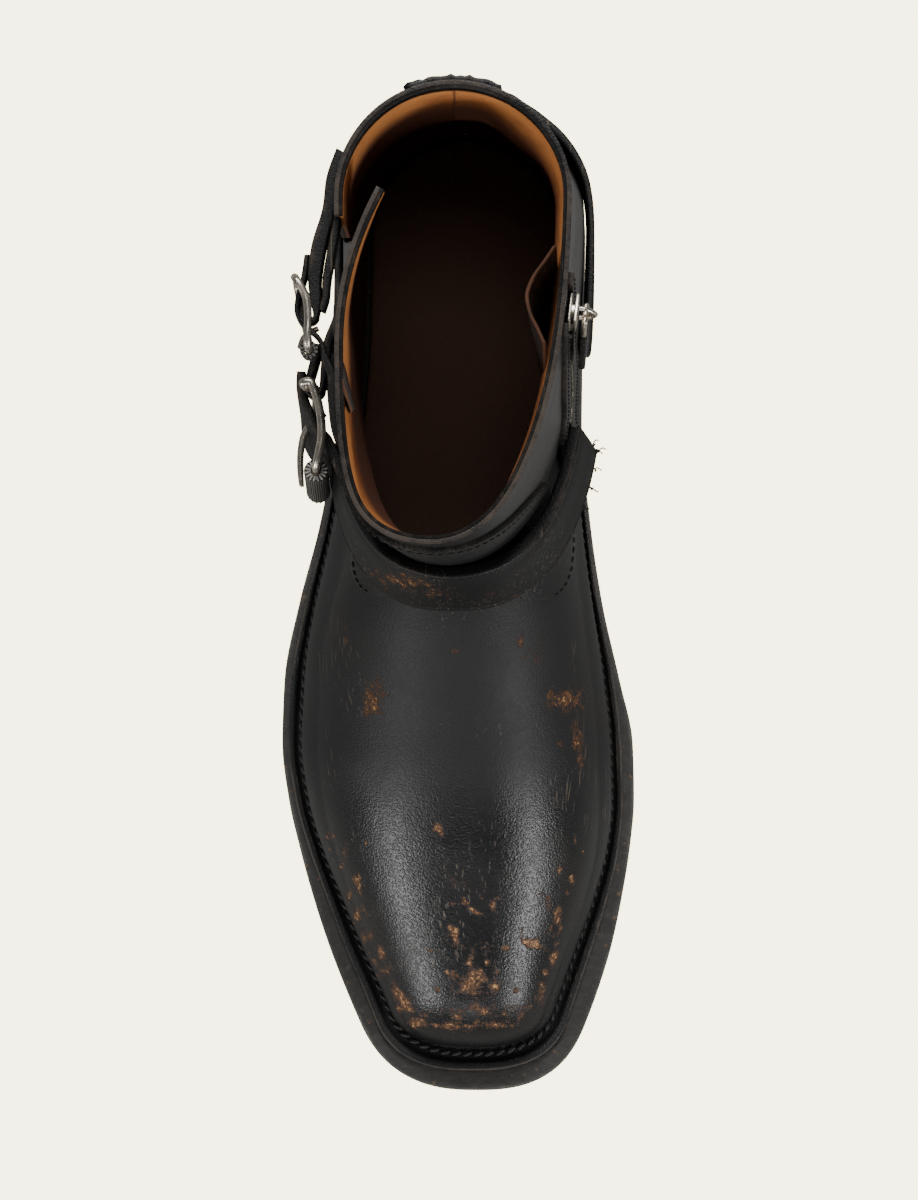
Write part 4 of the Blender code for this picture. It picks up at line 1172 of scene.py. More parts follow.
@dataclass
class Chart:
    """Where the leather is scuffed, as seen from above.

    A mark fades away from its middle, and ends at reach times its half sizes or widest pixels
    from it. The leather is polished before polished_toe, and nearly so over polished_shaft.
    """

    view: PhotoView
    marks: Rows = (
        (373, 700, 13, 24, 0.1, 1.12), (566, 700, 24, 13, 0.15, 1.08), (577, 742, 7, 32, -0.1, 1),
        (474, 983, 24, 21, 0, 1.15), (531, 943, 11, 5, 0.25, 1.7), (455, 935, 4, 10, 0, 1.5),
        (470, 908, 12, 3, 0.6, 1.5), (493, 905, 5, 8, 0, 1.3), (558, 915, 5, 12, 0.1, 1.35),
        (572, 880, 4, 7, 0, 1.4), (438, 827, 6, 5, 0, 1.4), (555, 958, 5, 12, 0.2, 1.2),
        (541, 995, 5, 12, 0.35, 1.2), (494, 988, 6, 6, 0, 1.2), (357, 913, 5, 7, 0, 1.3),
        (359, 886, 5, 13, 0.1, 1), (328, 837, 4, 7, 0, 1), (345, 853, 4, 9, 0.3, 0.9),
        (382, 953, 6, 9, 0, 1.15), (403, 1006, 6, 12, 0.5, 1.45), (418, 1023, 12, 6, -0.2, 1.45),
        (455, 1027, 26, 5, 0, 1.25), (500, 1025, 24, 5, 0, 1.2), (484, 1012, 6, 5, 0, 1.3),
        (380, 975, 6, 14, 0.5, 0.95), (395, 992, 6, 10, 0.4, 1.1), (365, 935, 5, 12, 0.2, 0.9),
        (455, 975, 10, 12, 0, 0.95), (512, 962, 8, 8, 0, 0.8), (545, 900, 6, 14, 0, 0.8),
        (350, 895, 5, 12, 0, 0.9), (436, 1010, 12, 8, 0, 0.8), (520, 1008, 12, 8, 0, 0.9),
        (402, 581, 40, 12, 0.15, 0.93), (440, 594, 26, 7, 0, 0.76), (455, 652, 5, 5, 0, 0.9),
        (345, 633, 3, 17, -0.1, 0.9), (521, 640, 3, 14, 0.1, 0.9), (562, 744, 10, 2, 0, 1),
        (535, 655, 18, 14, 0, 0.55), (470, 950, 40, 26, 0, 0.5), (470, 1012, 70, 18, 0, 0.62),
        (548, 935, 14, 34, 0.25, 0.6), (368, 915, 12, 40, -0.35, 0.6), (455, 880, 30, 20, 0, 0.42),
        (505, 595, 30, 8, 0, 0.6))
    flecks: Rows = (
        (342, 867, 3, 7), (355, 880, 4, 6), (350, 898, 3, 5), (346, 912, 3, 6), (356, 921, 5, 4),
        (370, 936, 4, 6), (381, 950, 5, 5), (375, 962, 3, 5), (389, 970, 5, 4), (394, 984, 4, 6),
        (401, 996, 5, 6), (411, 1009, 6, 6), (424, 1017, 7, 4), (432, 1010, 4, 4),
        (437, 1024, 6, 3), (366, 842, 3, 4), (377, 822, 3, 3), (560, 870, 3, 6), (572, 878, 3, 5),
        (567, 893, 3, 4), (557, 916, 4, 6), (560, 930, 3, 4), (556, 944, 4, 5), (551, 960, 4, 5),
        (546, 973, 4, 5), (541, 985, 4, 5), (537, 998, 4, 5), (530, 1008, 6, 4), (548, 908, 2, 6),
        (452, 905, 5, 3), (440, 910, 3, 3), (464, 901, 3, 5), (478, 914, 7, 2), (487, 926, 7, 2),
        (496, 936, 6, 3), (506, 947, 5, 2), (481, 897, 2, 5), (498, 900, 3, 4), (450, 928, 3, 5),
        (457, 942, 3, 3), (470, 962, 7, 3), (487, 963, 4, 3), (446, 971, 4, 4), (497, 972, 4, 3),
        (494, 1000, 5, 3), (505, 1012, 5, 3), (478, 1022, 8, 3), (459, 1018, 7, 3),
        (520, 1018, 6, 3), (516, 990, 3, 5), (438, 990, 3, 4), (522, 930, 2, 5), (430, 950, 3, 3),
        (437, 826, 5, 4), (442, 834, 3, 2), (575, 840, 2, 4), (583, 852, 2, 4), (334, 836, 3, 4),
        (330, 850, 3, 4))
    fleck_strength: float = 1.22
    fade: float = 0.9
    reach: float = 2.0
    widest: float = 90.0
    polished_toe: float = -188.0
    polished_shaft: float = 90.0
    turned: list[tuple[Mark, float, float]] = field(init=False)

    def __post_init__(self) -> None:
        """Turns the tables into marks, each with the cosine and the sine of its turn."""
        marks = [Mark(*row) for row in self.marks]
        marks += [Mark(*row, 0.5 * math.sin(row[0]), self.fleck_strength) for row in self.flecks]
        self.turned = [(mark, math.cos(mark.turn), math.sin(mark.turn)) for mark in marks]

    def dress(self, bm: Mesh) -> None:
        """Writes how scuffed each vertex is, and how much of its polish is gone.

        Args:
            bm: A mesh in millimetres.
        """
        for name in ("scuff", "matt"):
            vertex_layer(bm, name)
        scuff, matt = (vertex_layer(bm, name) for name in ("scuff", "matt"))
        for vert in bm.verts:
            vert[scuff] = self.scuffed(*self.view.pixel(vert.co))
            past_toe = smooth((vert.co.y - self.polished_toe) / 30)
            vert[matt] = past_toe * mix(1.0, 0.2, smooth((vert.co.z - self.polished_shaft) / 25))

    def scuffed(self, px: float, py: float) -> float:
        """How strongly the marks scuff a place.

        Args:
            px: Pixels from the picture's left.
            py: Pixels from its top.

        Returns:
            The strongest mark's share there.
        """
        most = 0.0
        for mark, cosine, sine in self.turned:
            across, along = px - mark.px, py - mark.py
            if max(abs(across), abs(along)) > self.widest:
                continue
            u = (across * cosine + along * sine) / mark.wide
            v = (along * cosine - across * sine) / mark.high
            far = u * u + v * v
            if far < self.reach**2:
                most = max(most, mark.strength * math.exp(-far * self.fade))
        return most


@dataclass
class StitchRow:
    """A row of thread stitches lying on a surface."""

    pitch: float = 2.9
    length: float = 2.1
    radius: float = 0.3
    slant: float = 0.0
    sink: float = 0.1

    def sew(self, bm: Mesh, path: Sequence[tuple[Vector, Vector]],
            closed: bool = False) -> None:
        """Adds the stitches along a path.

        Args:
            bm: The mesh to add to.
            path: Points and the surface's outward way at each.
            closed: True if the path leads back to its start.
        """
        points = [*path, path[0]] if closed else list(path)
        travelled = travel([point for point, _ in points])
        count = max(int(travelled[-1] / self.pitch), 1)
        for i in range(count):
            at = (i + 0.5) * travelled[-1] / count
            k = min(bisect_right(travelled, at), len(points) - 1)
            (a, up_a), (b, up_b) = points[k - 1], points[k]
            share = (at - travelled[k - 1]) / max(travelled[k] - travelled[k - 1], 1e-6)
            up = up_a.lerp(up_b, share).normalized()
            self.stitch(bm, a.lerp(b, share), (b - a).normalized(), up)

    def stitch(self, bm: Mesh, middle: Vector, along: Vector, up: Vector) -> None:
        """Adds one stitch.

        Args:
            bm: The mesh to add to.
            middle: Its middle, on the surface.
            along: The way of the row.
            up: The surface's outward way.
        """
        along = (along - up * along.dot(up)).normalized()
        along = Matrix.Rotation(self.slant, 3, up) @ along
        place = placed(middle + up * (self.radius - self.sink), (up.cross(along), along, up),
                       (self.radius * 1.15, self.length / 2, self.radius))
        bmesh.ops.create_uvsphere(bm, u_segments=6, v_segments=4, radius=1.0,
                                  matrix=place @ Matrix.Rotation(math.pi / 2, 4, "X"))


@dataclass
class Upper:
    """The leather upper, its rim and its lining."""

    last: BootLast
    finishes: Finishes
    chart: Chart
    leather: float = 1.35
    band_from: float = 13.86
    wall: float = 2.4
    glue: float = 0.12
    pad_inner: float = 3.5
    pad_front: float = 1.0
    heel_cup_start: float = 4.0
    heel_cup_rise: float = 9.0
    rim_from: float = 176.0
    ripples: Rows = ((26, 0.22), (9, 0.07))
    tree: BVHTree = field(init=False)

    def sections(self, density: float, low: float, high: float) -> list[float]:
        """Places of the sheet's rings of vertices.

        Args:
            density: Share of the finest spacing.
            low: The first section.
            high: The last section.

        Returns:
            The places, toe first.
        """
        parts = ((0, 1, 18), (1, 8, 100), (8, 9, 14), (9, 14, 62))
        rows = []
        for start, end, count in parts:
            start, end = max(start, low), min(end, high)
            if end > start:
                rows += span(start, end, max(int(count * density), 3))
        return [*rows, high]

    def sheet(self, density: float = 1.0, low: float = 0.0, high: float = 14.0) -> Mesh:
        """The upper's outer face as one open sheet, slit on the outer side.

        Args:
            density: Share of the finest spacing.
            low: The first section.
            high: The last section.

        Returns:
            The sheet in millimetres.
        """
        bm = bmesh.new()
        last = self.last
        rows = self.sections(density, low, high)
        back = [*span(last.slit_turn, 1, int(28 * density)), 1.0]
        front = [(Side.INNER, t) for t in span(1, 0, int(88 * density))]
        front += [(Side.OUTER, t) for t in span(0, last.slit_turn, int(62 * density))]
        front.append((Side.OUTER, last.slit_turn))
        grid(bm, len(back), len(rows), lambda c, r: last.skin(rows[r], Side.OUTER, back[c] + 1e-9))
        grid(bm, len(front), len(rows), lambda c, r: last.skin(rows[r], *front[c]))
        bmesh.ops.remove_doubles(bm, verts=bm.verts, dist=0.015)
        bmesh.ops.dissolve_degenerate(bm, edges=bm.edges, dist=0.005)
        bmesh.ops.reverse_faces(bm, faces=bm.faces)
        return bm

    def thicken(self, bm: Mesh, start: float, end: float) -> None:
        """Gives a sheet a wall between two depths under the upper's outer face.

        Args:
            bm: The sheet.
            start: Depth of the wall's outer face.
            end: Depth of its inner face.
        """
        bm.normal_update()
        inward = bm.verts.layers.float_vector.new("inward")
        for vert in bm.verts:
            way = -vert.normal
            feather = self.last.feather(vert.co.y)
            if vert.is_boundary and (abs(vert.co.z - feather) < 0.4 or vert.co.z > self.rim_from):
                way.z = 0
            if vert.co.y > self.heel_cup_start and vert.co.z < feather + self.heel_cup_rise:
                way = Vector((-vert.co.x, -vert.co.y, 0))
            vert[inward] = way.normalized()
        if start:
            for vert in bm.verts:
                vert.co += vert[inward] * start
        raise_wall(bm, lambda vert: vert[inward] * (end - start))

    def ripple(self, bm: Mesh) -> None:
        """Gives the leather the slight unevenness of a worn skin.

        Args:
            bm: The sheet.
        """
        bm.normal_update()
        moves = []
        for vert in bm.verts:
            rise = sum(noise.noise(vert.co / wide) * high for wide, high in self.ripples)
            calm = smooth((vert.co.z - self.last.feather(vert.co.y)) / 6)
            calm *= smooth((184 - vert.co.z) / 8)
            moves.append(vert.normal * rise * calm)
        for vert, move in zip(bm.verts, moves):
            vert.co += move

    def pad(self, bm: Mesh) -> None:
        """Lets the lining stand off the leather below the collar, as its padding does.

        Args:
            bm: The lining's sheet.
        """
        bm.normal_update()
        for vert in bm.verts:
            down = smooth((182 - vert.co.z) / 30) * smooth((vert.co.z - 90) / 30)
            inner = smooth((vert.co.x - 4) / 16)
            front = smooth((-vert.co.x - 10) / 12) * smooth((-30 - vert.co.y) / 15)
            vert.co -= vert.normal * down * (self.pad_inner * inner + self.pad_front * front)

    def build(self) -> None:
        """Makes the leather, the black edge inside the collar and the tan lining."""
        bm = self.sheet()
        self.ripple(bm)
        self.tree = BVHTree.FromBMesh(bm)
        self.thicken(bm, 0.0, self.leather)
        soften(bm, 0.35, 2, 55)
        self.chart.dress(bm)
        hand_over(bm, "upper_leather", self.finishes.upper, Slot.BLACK, ["upper"])
        bm = self.sheet(0.7, self.band_from, 14.0)
        self.thicken(bm, self.leather + self.glue, self.wall)
        soften(bm, 0.3, 2, 55)
        hand_over(bm, "collar_inner_edge", self.finishes.rim, Slot.BLACK)
        bm = self.sheet(0.6, 0.0, self.band_from - 0.01)
        self.pad(bm)
        self.thicken(bm, self.leather + self.glue, self.wall + 0.1)
        hand_over(bm, "lining", self.finishes.lining, Slot.TAN)

    def from_side(self, side: Side, y: float, z: float) -> tuple[Vector, Vector]:
        """Outermost place of the leather on one side, with its normal."""
        start, way = Vector((side.value * OUTSIDE, y, z)), Vector((-side.value, 0, 0))
        return self.tree.ray_cast(start, way)[:2]


@dataclass
class Overlay:
    """A flat piece of leather laid on the upper."""

    upper: Upper
    thickness: float = 1.5
    sink: float = 0.15
    centre: Vector = field(default_factory=lambda: Vector((0.0, -35.0, 80.0)))

    def lay(self, columns: int, rows: int, place: Callable[[float, float], Vector]) -> Mesh:
        """Makes the piece.

        Args:
            columns: Vertices across.
            rows: Vertices along.
            place: Gives the place on the upper at two shares, across and along.

        Returns:
            The piece's mesh.
        """
        bm = bmesh.new()
        grid(bm, columns, rows, lambda c, r: place(c / (columns - 1), r / (rows - 1)))
        bmesh.ops.remove_doubles(bm, verts=bm.verts, dist=0.01)
        bm.normal_update()
        if sum(face.normal.dot(face.calc_center_median() - self.centre) for face in bm.faces) < 0:
            bmesh.ops.reverse_faces(bm, faces=bm.faces)
            bm.normal_update()
        outward = bm.verts.layers.float_vector.new("outward")
        for vert in bm.verts:
            vert[outward] = vert.normal
            vert.co -= vert.normal * self.sink
        raise_wall(bm, lambda vert: vert[outward] * (self.thickness + self.sink))
        soften(bm, 0.45, 2, 55)
        return bm

    def seam(self, points: Sequence[Vector]) -> list[tuple[Vector, Vector]]:
        """A path for stitches on top of the piece.

        Args:
            points: Places near the upper.

        Returns:
            Points on the piece, with the outward way at each.
        """
        path = []
        for point in points:
            near, normal, _, _ = self.upper.tree.find_nearest(point)
            if normal.dot(near - self.centre) < 0:
                normal = -normal
            path.append((near + normal * self.thickness, normal))
        return path


@dataclass
class Overlays:
    """The tab up the front, the tabs under the strap and the strip down the back."""

    upper: Upper
    finishes: Finishes
    chart: Chart
    vamp_tab_foot: float = 9.0
    vamp_tab_top: Rows = (
        (-0.34, 10), (-0.32, 10.8), (-0.26, 11.8), (-0.18, 12.6), (-0.09, 13), (0, 13),
        (0.09, 12.7), (0.17, 12), (0.23, 11.2), (0.26, 10.4), (0.27, 9.9))
    outer_tab: Rows = (
        (-84, 84, 97), (-86, 78, 97), (-90, 73, 97), (-96, 70, 97), (-102, 70, 96),
        (-107, 72.5, 95), (-110.5, 77, 93), (-112.5, 83, 90.5))
    inner_tab: Rows = (
        (-85, 82, 97), (-87, 75.5, 97), (-91, 70.5, 97), (-97, 67.5, 97), (-103, 68, 96),
        (-108, 71, 94.5), (-111.5, 76, 92), (-113.5, 82, 89.5))
    backstay_turn: float = 0.09
    backstay_foot: float = 9.6
    backstay_top: float = 13.98
    fray_from: float = 150.0
    tab_edges: list[tuple[float, ...]] = field(init=False)

    def __post_init__(self) -> None:
        """Rounds the vamp tab's edge once."""
        self.tab_edges = refine(self.vamp_tab_top, 4)

    def vamp_place(self, across: float, along: float) -> Vector:
        """A place on the vamp tab.

        Args:
            across: Share of the way across it.
            along: Share of the way up it.

        Returns:
            The place.
        """
        edges = self.tab_edges
        k = min(int(across * (len(edges) - 1)), len(edges) - 2)
        share = across * (len(edges) - 1) - k
        turn, at = (mix(edges[k][i], edges[k + 1][i], share) for i in (0, 1))
        side = Side.INNER if turn > 0 else Side.OUTER
        return self.upper.last.skin(mix(self.vamp_tab_foot, at, along), side, abs(turn))

    def back_place(self, across: float, along: float) -> Vector:
        """A place on the backstay.

        Args:
            across: Share of the way across it.
            along: Share of the way up it.

        Returns:
            The place.
        """
        turn = mix(-self.backstay_turn, self.backstay_turn, across)
        side = Side.INNER if turn > 0 else Side.OUTER
        at = mix(self.backstay_foot, self.backstay_top, along)
        return self.upper.last.skin(at, side, 1 - abs(turn))

    def build(self) -> None:
        """Makes the four overlays and their stitches."""
        overlay = Overlay(self.upper)
        thread = bmesh.new()
        stitches = StitchRow()
        bm = overlay.lay(64, 44, self.vamp_place)
        self.chart.dress(bm)
        hand_over(bm, "vamp_tab_leather", self.finishes.overlay, Slot.BLACK, ["vamp_tab"])
        line = [self.vamp_place(mix(0.05, 0.95, i / 80), 0.9) for i in range(81)]
        stitches.sew(thread, overlay.seam(line))
        bm = overlay.lay(22, 90, self.back_place)
        for vert in bm.verts:
            x, z = vert.co.x, vert.co.z
            fray = smooth((z - self.fray_from) / 30)
            vert.co.y += fray * 0.45 * math.sin(1.9 * x) * math.sin(0.7 * x + 1)
            vert.co.x -= fray * 0.7 * smooth((-x - 10) / 4) * math.sin(1.7 * z)
        hand_over(bm, "backstay_leather", self.finishes.overlay, Slot.BLACK, ["backstay"])
        for across in (0.12, 0.88):
            line = [self.back_place(across, mix(0.02, 0.98, i / 60)) for i in range(61)]
            stitches.sew(thread, overlay.seam(line))
        for name, side, table in (("side_tab_lateral", Side.OUTER, self.outer_tab),
                                  ("side_tab_medial", Side.INNER, self.inner_tab)):
            line = self.side_tab(overlay, name, side, table)
            stitches.sew(thread, overlay.seam(line))
        hand_over(thread, "overlay_stitches", self.finishes.thread, Slot.BLACK)

    def side_tab(self, overlay: Overlay, name: str, side: Side, table: Rows) -> list[Vector]:
        """Makes one tab under the strap.

        Args:
            overlay: How it is laid.
            name: Its CAD node's name.
            side: The side of the foot.
            table: Its lower and upper edge along the boot, rear end first.

        Returns:
            The line of its stitches.
        """
        low_edge, high_edge = curves([(-y, low, high) for y, low, high in table])
        first, final = -table[0][0], -table[-1][0]

        def place(across: float, along: float) -> Vector:
            """Place on the tab."""
            forward = mix(first, final, across)
            z = mix(low_edge(forward), high_edge(forward), along)
            return self.upper.from_side(side, -forward, z)[0]

        bm = overlay.lay(34, 26, place)
        hand_over(bm, name + "_leather", self.finishes.overlay, Slot.BLACK, [name])
        return [place(mix(0.04, 0.96, i / 50), 0.09) for i in range(51)]


@dataclass
class Outline:
    """A closed line round a sole or a heel, outer side first, with even spacing.

    Across is the number of steps over a straight end, or 0 where both sides meet in a point.
    """

    outer: list[Vector]
    inner: list[Vector]
    across: int = 0

    @staticmethod
    def evenly(points: list[Vector], count: int) -> list[Vector]:
        """The same line with evenly spaced points.

        Args:
            points: The line.
            count: Steps wanted.

        Returns:
            The new points.
        """
        travelled = travel(points)
        made = []
        for i in range(count + 1):
            at = travelled[-1] * i / count
            k = min(max(bisect_right(travelled, at), 1), len(points) - 1)
            share = (at - travelled[k - 1]) / max(travelled[k] - travelled[k - 1], 1e-9)
            made.append(points[k - 1].lerp(points[k], min(share, 1.0)))
        return made

    @staticmethod
    def near_end(end: float, reach: float) -> list[float]:
        """Stations from an end inwards, closest where the plan rounds over most."""
        return [end + reach * (1 - math.cos(math.pi / 2 * i / 40)) for i in range(41)]

    @classmethod
    def through(cls, last: BootLast, kind: str, ends: Ends, stations: Sequence[float],
                count: int) -> "Outline":
        """The outline through a plan's edges at some stations.

        Args:
            last: The boot's form.
            kind: The plan's name.
            ends: Where the plan ends.
            stations: The stations, in any order.
            count: Steps down each side.

        Returns:
            The outline.
        """
        pairs = [last.edges(kind, ends, y) for y in sorted(stations)]
        return cls(*(cls.evenly([pair[i] for pair in pairs], count) for i in (0, 1)))

    @classmethod
    def of_plan(cls, last: BootLast, kind: str, ends: Ends, count: int) -> "Outline":
        """The outline of the last, the welt or the sole.

        Args:
            last: The boot's form.
            kind: The plan's name.
            ends: Where the plan ends.
            count: Steps down each side.

        Returns:
            The outline.
        """
        stations = cls.near_end(ends.toe, ends.toe_reach)
        stations += cls.near_end(ends.heel, -ends.heel_reach)
        stations += span(ends.toe + ends.toe_reach + 3, ends.heel - ends.heel_reach - 3, 60)
        return cls.through(last, kind, ends, stations, count)

    @classmethod
    def of_heel(cls, last: BootLast, breast: float, count: int = 90, across: int = 14) -> "Outline":
        """The heel's outline, straight across the breast.

        Args:
            last: The boot's form.
            breast: The breast's place along the foot.
            count: Steps down each side.
            across: Steps across the breast.

        Returns:
            The outline.
        """
        ends = last.sole_ends
        stations = {breast, *span(breast + 3, 0, 8), *cls.near_end(ends.heel, -ends.heel_reach)}
        heel = cls.through(last, "sole", ends, stations, count)
        heel.across = across
        return heel

    def ring(self) -> list[Vector]:
        """The outline's points in order, the first not repeated.

        Returns:
            The points.
        """
        back = self.inner[-2::-1]
        if not self.across:
            return [*self.outer, *back[:-1]]
        shares = (i / self.across for i in range(1, self.across))
        return [*self.outer, *back, *(self.inner[0].lerp(self.outer[0], share) for share in shares)]

    def ways(self, ring: list[Vector]) -> list[Vector]:
        """The outward way at each of the ring's points.

        Args:
            ring: The ring.

        Returns:
            The ways.
        """
        count = len(ring)
        made = []
        for i in range(count):
            along = (ring[(i + 1) % count] - ring[i - 1]).normalized()
            made.append(Vector((-along.y, along.x, 0)))
        middle = sum(ring, Vector()) / count
        facing = sum(way.dot(point - middle) for way, point in zip(made, ring))
        return made if facing > 0 else [-way for way in made]

    def band(self, profile: Rows, height: Callable[[Vector, float], float],
             reach: Sequence[float] = ()) -> Mesh:
        """Sweeps a profile round the outline.

        Args:
            profile: Rows of inset, rise and how rubbed the place is. An inset below 0 is a
                share of the reach.
            height: Gives the height of a rise at a point.
            reach: Distance that negative insets are shares of, at each point. With it, the
                profile's end joins its start. Without it, plates close the band.

        Returns:
            The mesh.
        """
        bm = bmesh.new()
        ring = self.ring()
        ways = self.ways(ring)
        count = len(ring)
        layer = vertex_layer(bm, "wear")

        def place(column: int, row: int) -> Vector:
            """The profile's point at a place on the ring."""
            k = column % count
            inset, rise, _ = profile[row % len(profile)]
            inset = -inset * reach[k] if inset < 0 else inset
            point = ring[k] - ways[k] * inset
            return Vector((point.x, point.y, height(point, rise)))

        verts = grid(bm, count + 1, len(profile) + bool(reach), place)
        for i, vert in enumerate(verts):
            vert[layer] = profile[(i // (count + 1)) % len(profile)][2]
        if not reach:
            steps = len(self.outer)
            for row in (0, len(profile) - 1):
                grid(bm, 2, steps, lambda c, r, row=row: place(self.opposite(r) if c else r, row))
        bmesh.ops.remove_doubles(bm, verts=bm.verts, dist=MERGE)
        bmesh.ops.recalc_face_normals(bm, faces=bm.faces)
        return bm

    def opposite(self, k: int) -> int:
        """The ring's index of the inner side's point number k."""
        return 2 * (len(self.outer) - 1) - k


@dataclass
class SolePack:
    """Welt, midsole, outsole, insole and heel, with their profiles as Outline.band reads them."""

    last: BootLast
    finishes: Finishes
    breast: float = -36.0
    lift: float = 7.0
    layers: int = 4
    channel: float = 0.68
    channel_rise: float = 11.45
    welt_profile: Rows = (
        (-1.35, 9.6, 0), (-1.35, 12.3, 0), (-1.05, 12.2, 0), (-0.93, 11.6, 0), (-0.84, 11.35, 0),
        (-0.56, 11.3, 0), (-0.44, 11.5, 0.1), (-0.36, 12.2, 0.5), (-0.28, 12.55, 0.8),
        (-0.16, 12.6, 0.4), (0.35, 12.5, 0.9), (0.08, 12.2, 1), (0, 11.7, 0.7), (0, 10.1, 0.2),
        (0.3, 9.6, 0))
    midsole_profile: Rows = (
        (7, 5.3, 0), (0.5, 5.3, 0), (0.12, 5.5, 0.3), (0, 6, 0.3), (0, 8.3, 0.45), (0.25, 8.8, 1),
        (0.9, 9.15, 0.8), (2.2, 9.3, 0.2), (7, 9.3, 0))
    outsole_profile: Rows = (
        (12, 0, 0.1), (6, 0, 0.1), (2.3, 0.05, 0.8), (1.2, 0.5, 1), (0.85, 1.3, 0.6),
        (0.8, 2.6, 0.2), (0.8, 4.2, 0.3), (1, 4.8, 0.6), (1.5, 5, 0.1), (7, 5, 0))
    insole_profile: Rows = (
        (12, 9.9, 0), (4, 9.9, 0), (3.9, 12, 0), (4, 14, 0), (4.6, 14.7, 0), (6.5, 14.9, 0),
        (12, 14.5, 0))
    rubber_profile: Rows = (
        (9, 0, 0), (2.2, 0, 0.6), (1.5, 0.4, 1), (1.25, 1.2, 0.5), (1.05, 5.6, 0.1),
        (1.2, 6.6, 0.5), (1.6, 7, 0.4), (9, 7, 0))

    def above(self, point: Vector, rise: float) -> float:
        """Height of a rise over the sole's underside."""
        return self.last.sole_bottom(point.y) + rise

    def build(self) -> None:
        """Makes every layer under the upper."""
        self.welt()
        last, finishes = self.last, self.finishes
        sole = Outline.of_plan(last, "sole", last.sole_ends, 260)
        for name, profile in (("midsole", self.midsole_profile), ("outsole", self.outsole_profile)):
            bm = sole.band(profile, self.above)
            hand_over(bm, name + "_leather", finishes.sole, Slot.SOLE, [name], smooth_angle=60)
        under_foot = Outline.of_plan(last, "last", last.last_ends, 150)
        bm = under_foot.band(self.insole_profile, self.above)
        hand_over(bm, "insole_leather", finishes.insole, Slot.TAN, ["insole"], smooth_angle=60)
        self.heel()

    def welt(self) -> None:
        """Makes the welt, with its channel and the stitches in it."""
        outline = Outline.of_plan(self.last, "welt", self.last.welt_ends, 260)
        inner = Outline.of_plan(self.last, "last", self.last.last_ends, 200).ring()
        ring = outline.ring()
        reach = [min((point - other).length for other in inner) for point in ring]
        bm = outline.band(self.welt_profile, self.above, reach)
        hand_over(bm, "welt_leather", self.finishes.welt, Slot.BLACK, ["welt"], smooth_angle=60)
        path = []
        for point, way, near in zip(ring, outline.ways(ring), reach):
            place = point - way * near * self.channel
            place.z = self.above(place, self.channel_rise)
            path.append((place, Vector((0, 0, 1))))
        thread = bmesh.new()
        stitches = StitchRow(pitch=3.5, length=3.3, radius=0.62, slant=0.42, sink=0.15)
        stitches.sew(thread, path, closed=True)
        hand_over(thread, "welt_stitches", self.finishes.thread, Slot.BLACK)

    def heel(self) -> None:
        """Makes the stacked heel and its rubber."""
        profile = [(6.0, 0.0, 0.0)]
        for i in range(self.layers):
            low, high = i / self.layers, (i + 1) / self.layers
            profile += [(0.75, low, 0.0), (0.45, mix(low, high, 0.06), 0.5),
                        (0.4, mix(low, high, 0.5), 0.25), (0.45, mix(low, high, 0.94), 0.5)]
        profile += [(0.75, 1.0, 0.0), (6.0, 1.0, 0.0)]
        base, seat = self.lift + 0.3, 0.3

        def stacked(point: Vector, share: float) -> float:
            """Height of a share of the stack at a point."""
            return mix(base, self.last.sole_bottom(point.y) - seat, share)

        bm = Outline.of_heel(self.last, self.breast).band(profile, stacked)
        hand_over(bm, "heel_stack_leather", self.finishes.stack, Slot.SOLE, ["heel_stack"],
                  smooth_angle=60)
        rubber = Outline.of_heel(self.last, self.breast + 0.7)
        bm = rubber.band(self.rubber_profile, lambda point, rise: rise)
        hand_over(bm, "heel_rubber", self.finishes.rubber, Slot.RUBBER, ["top_lift"],
                  smooth_angle=60)


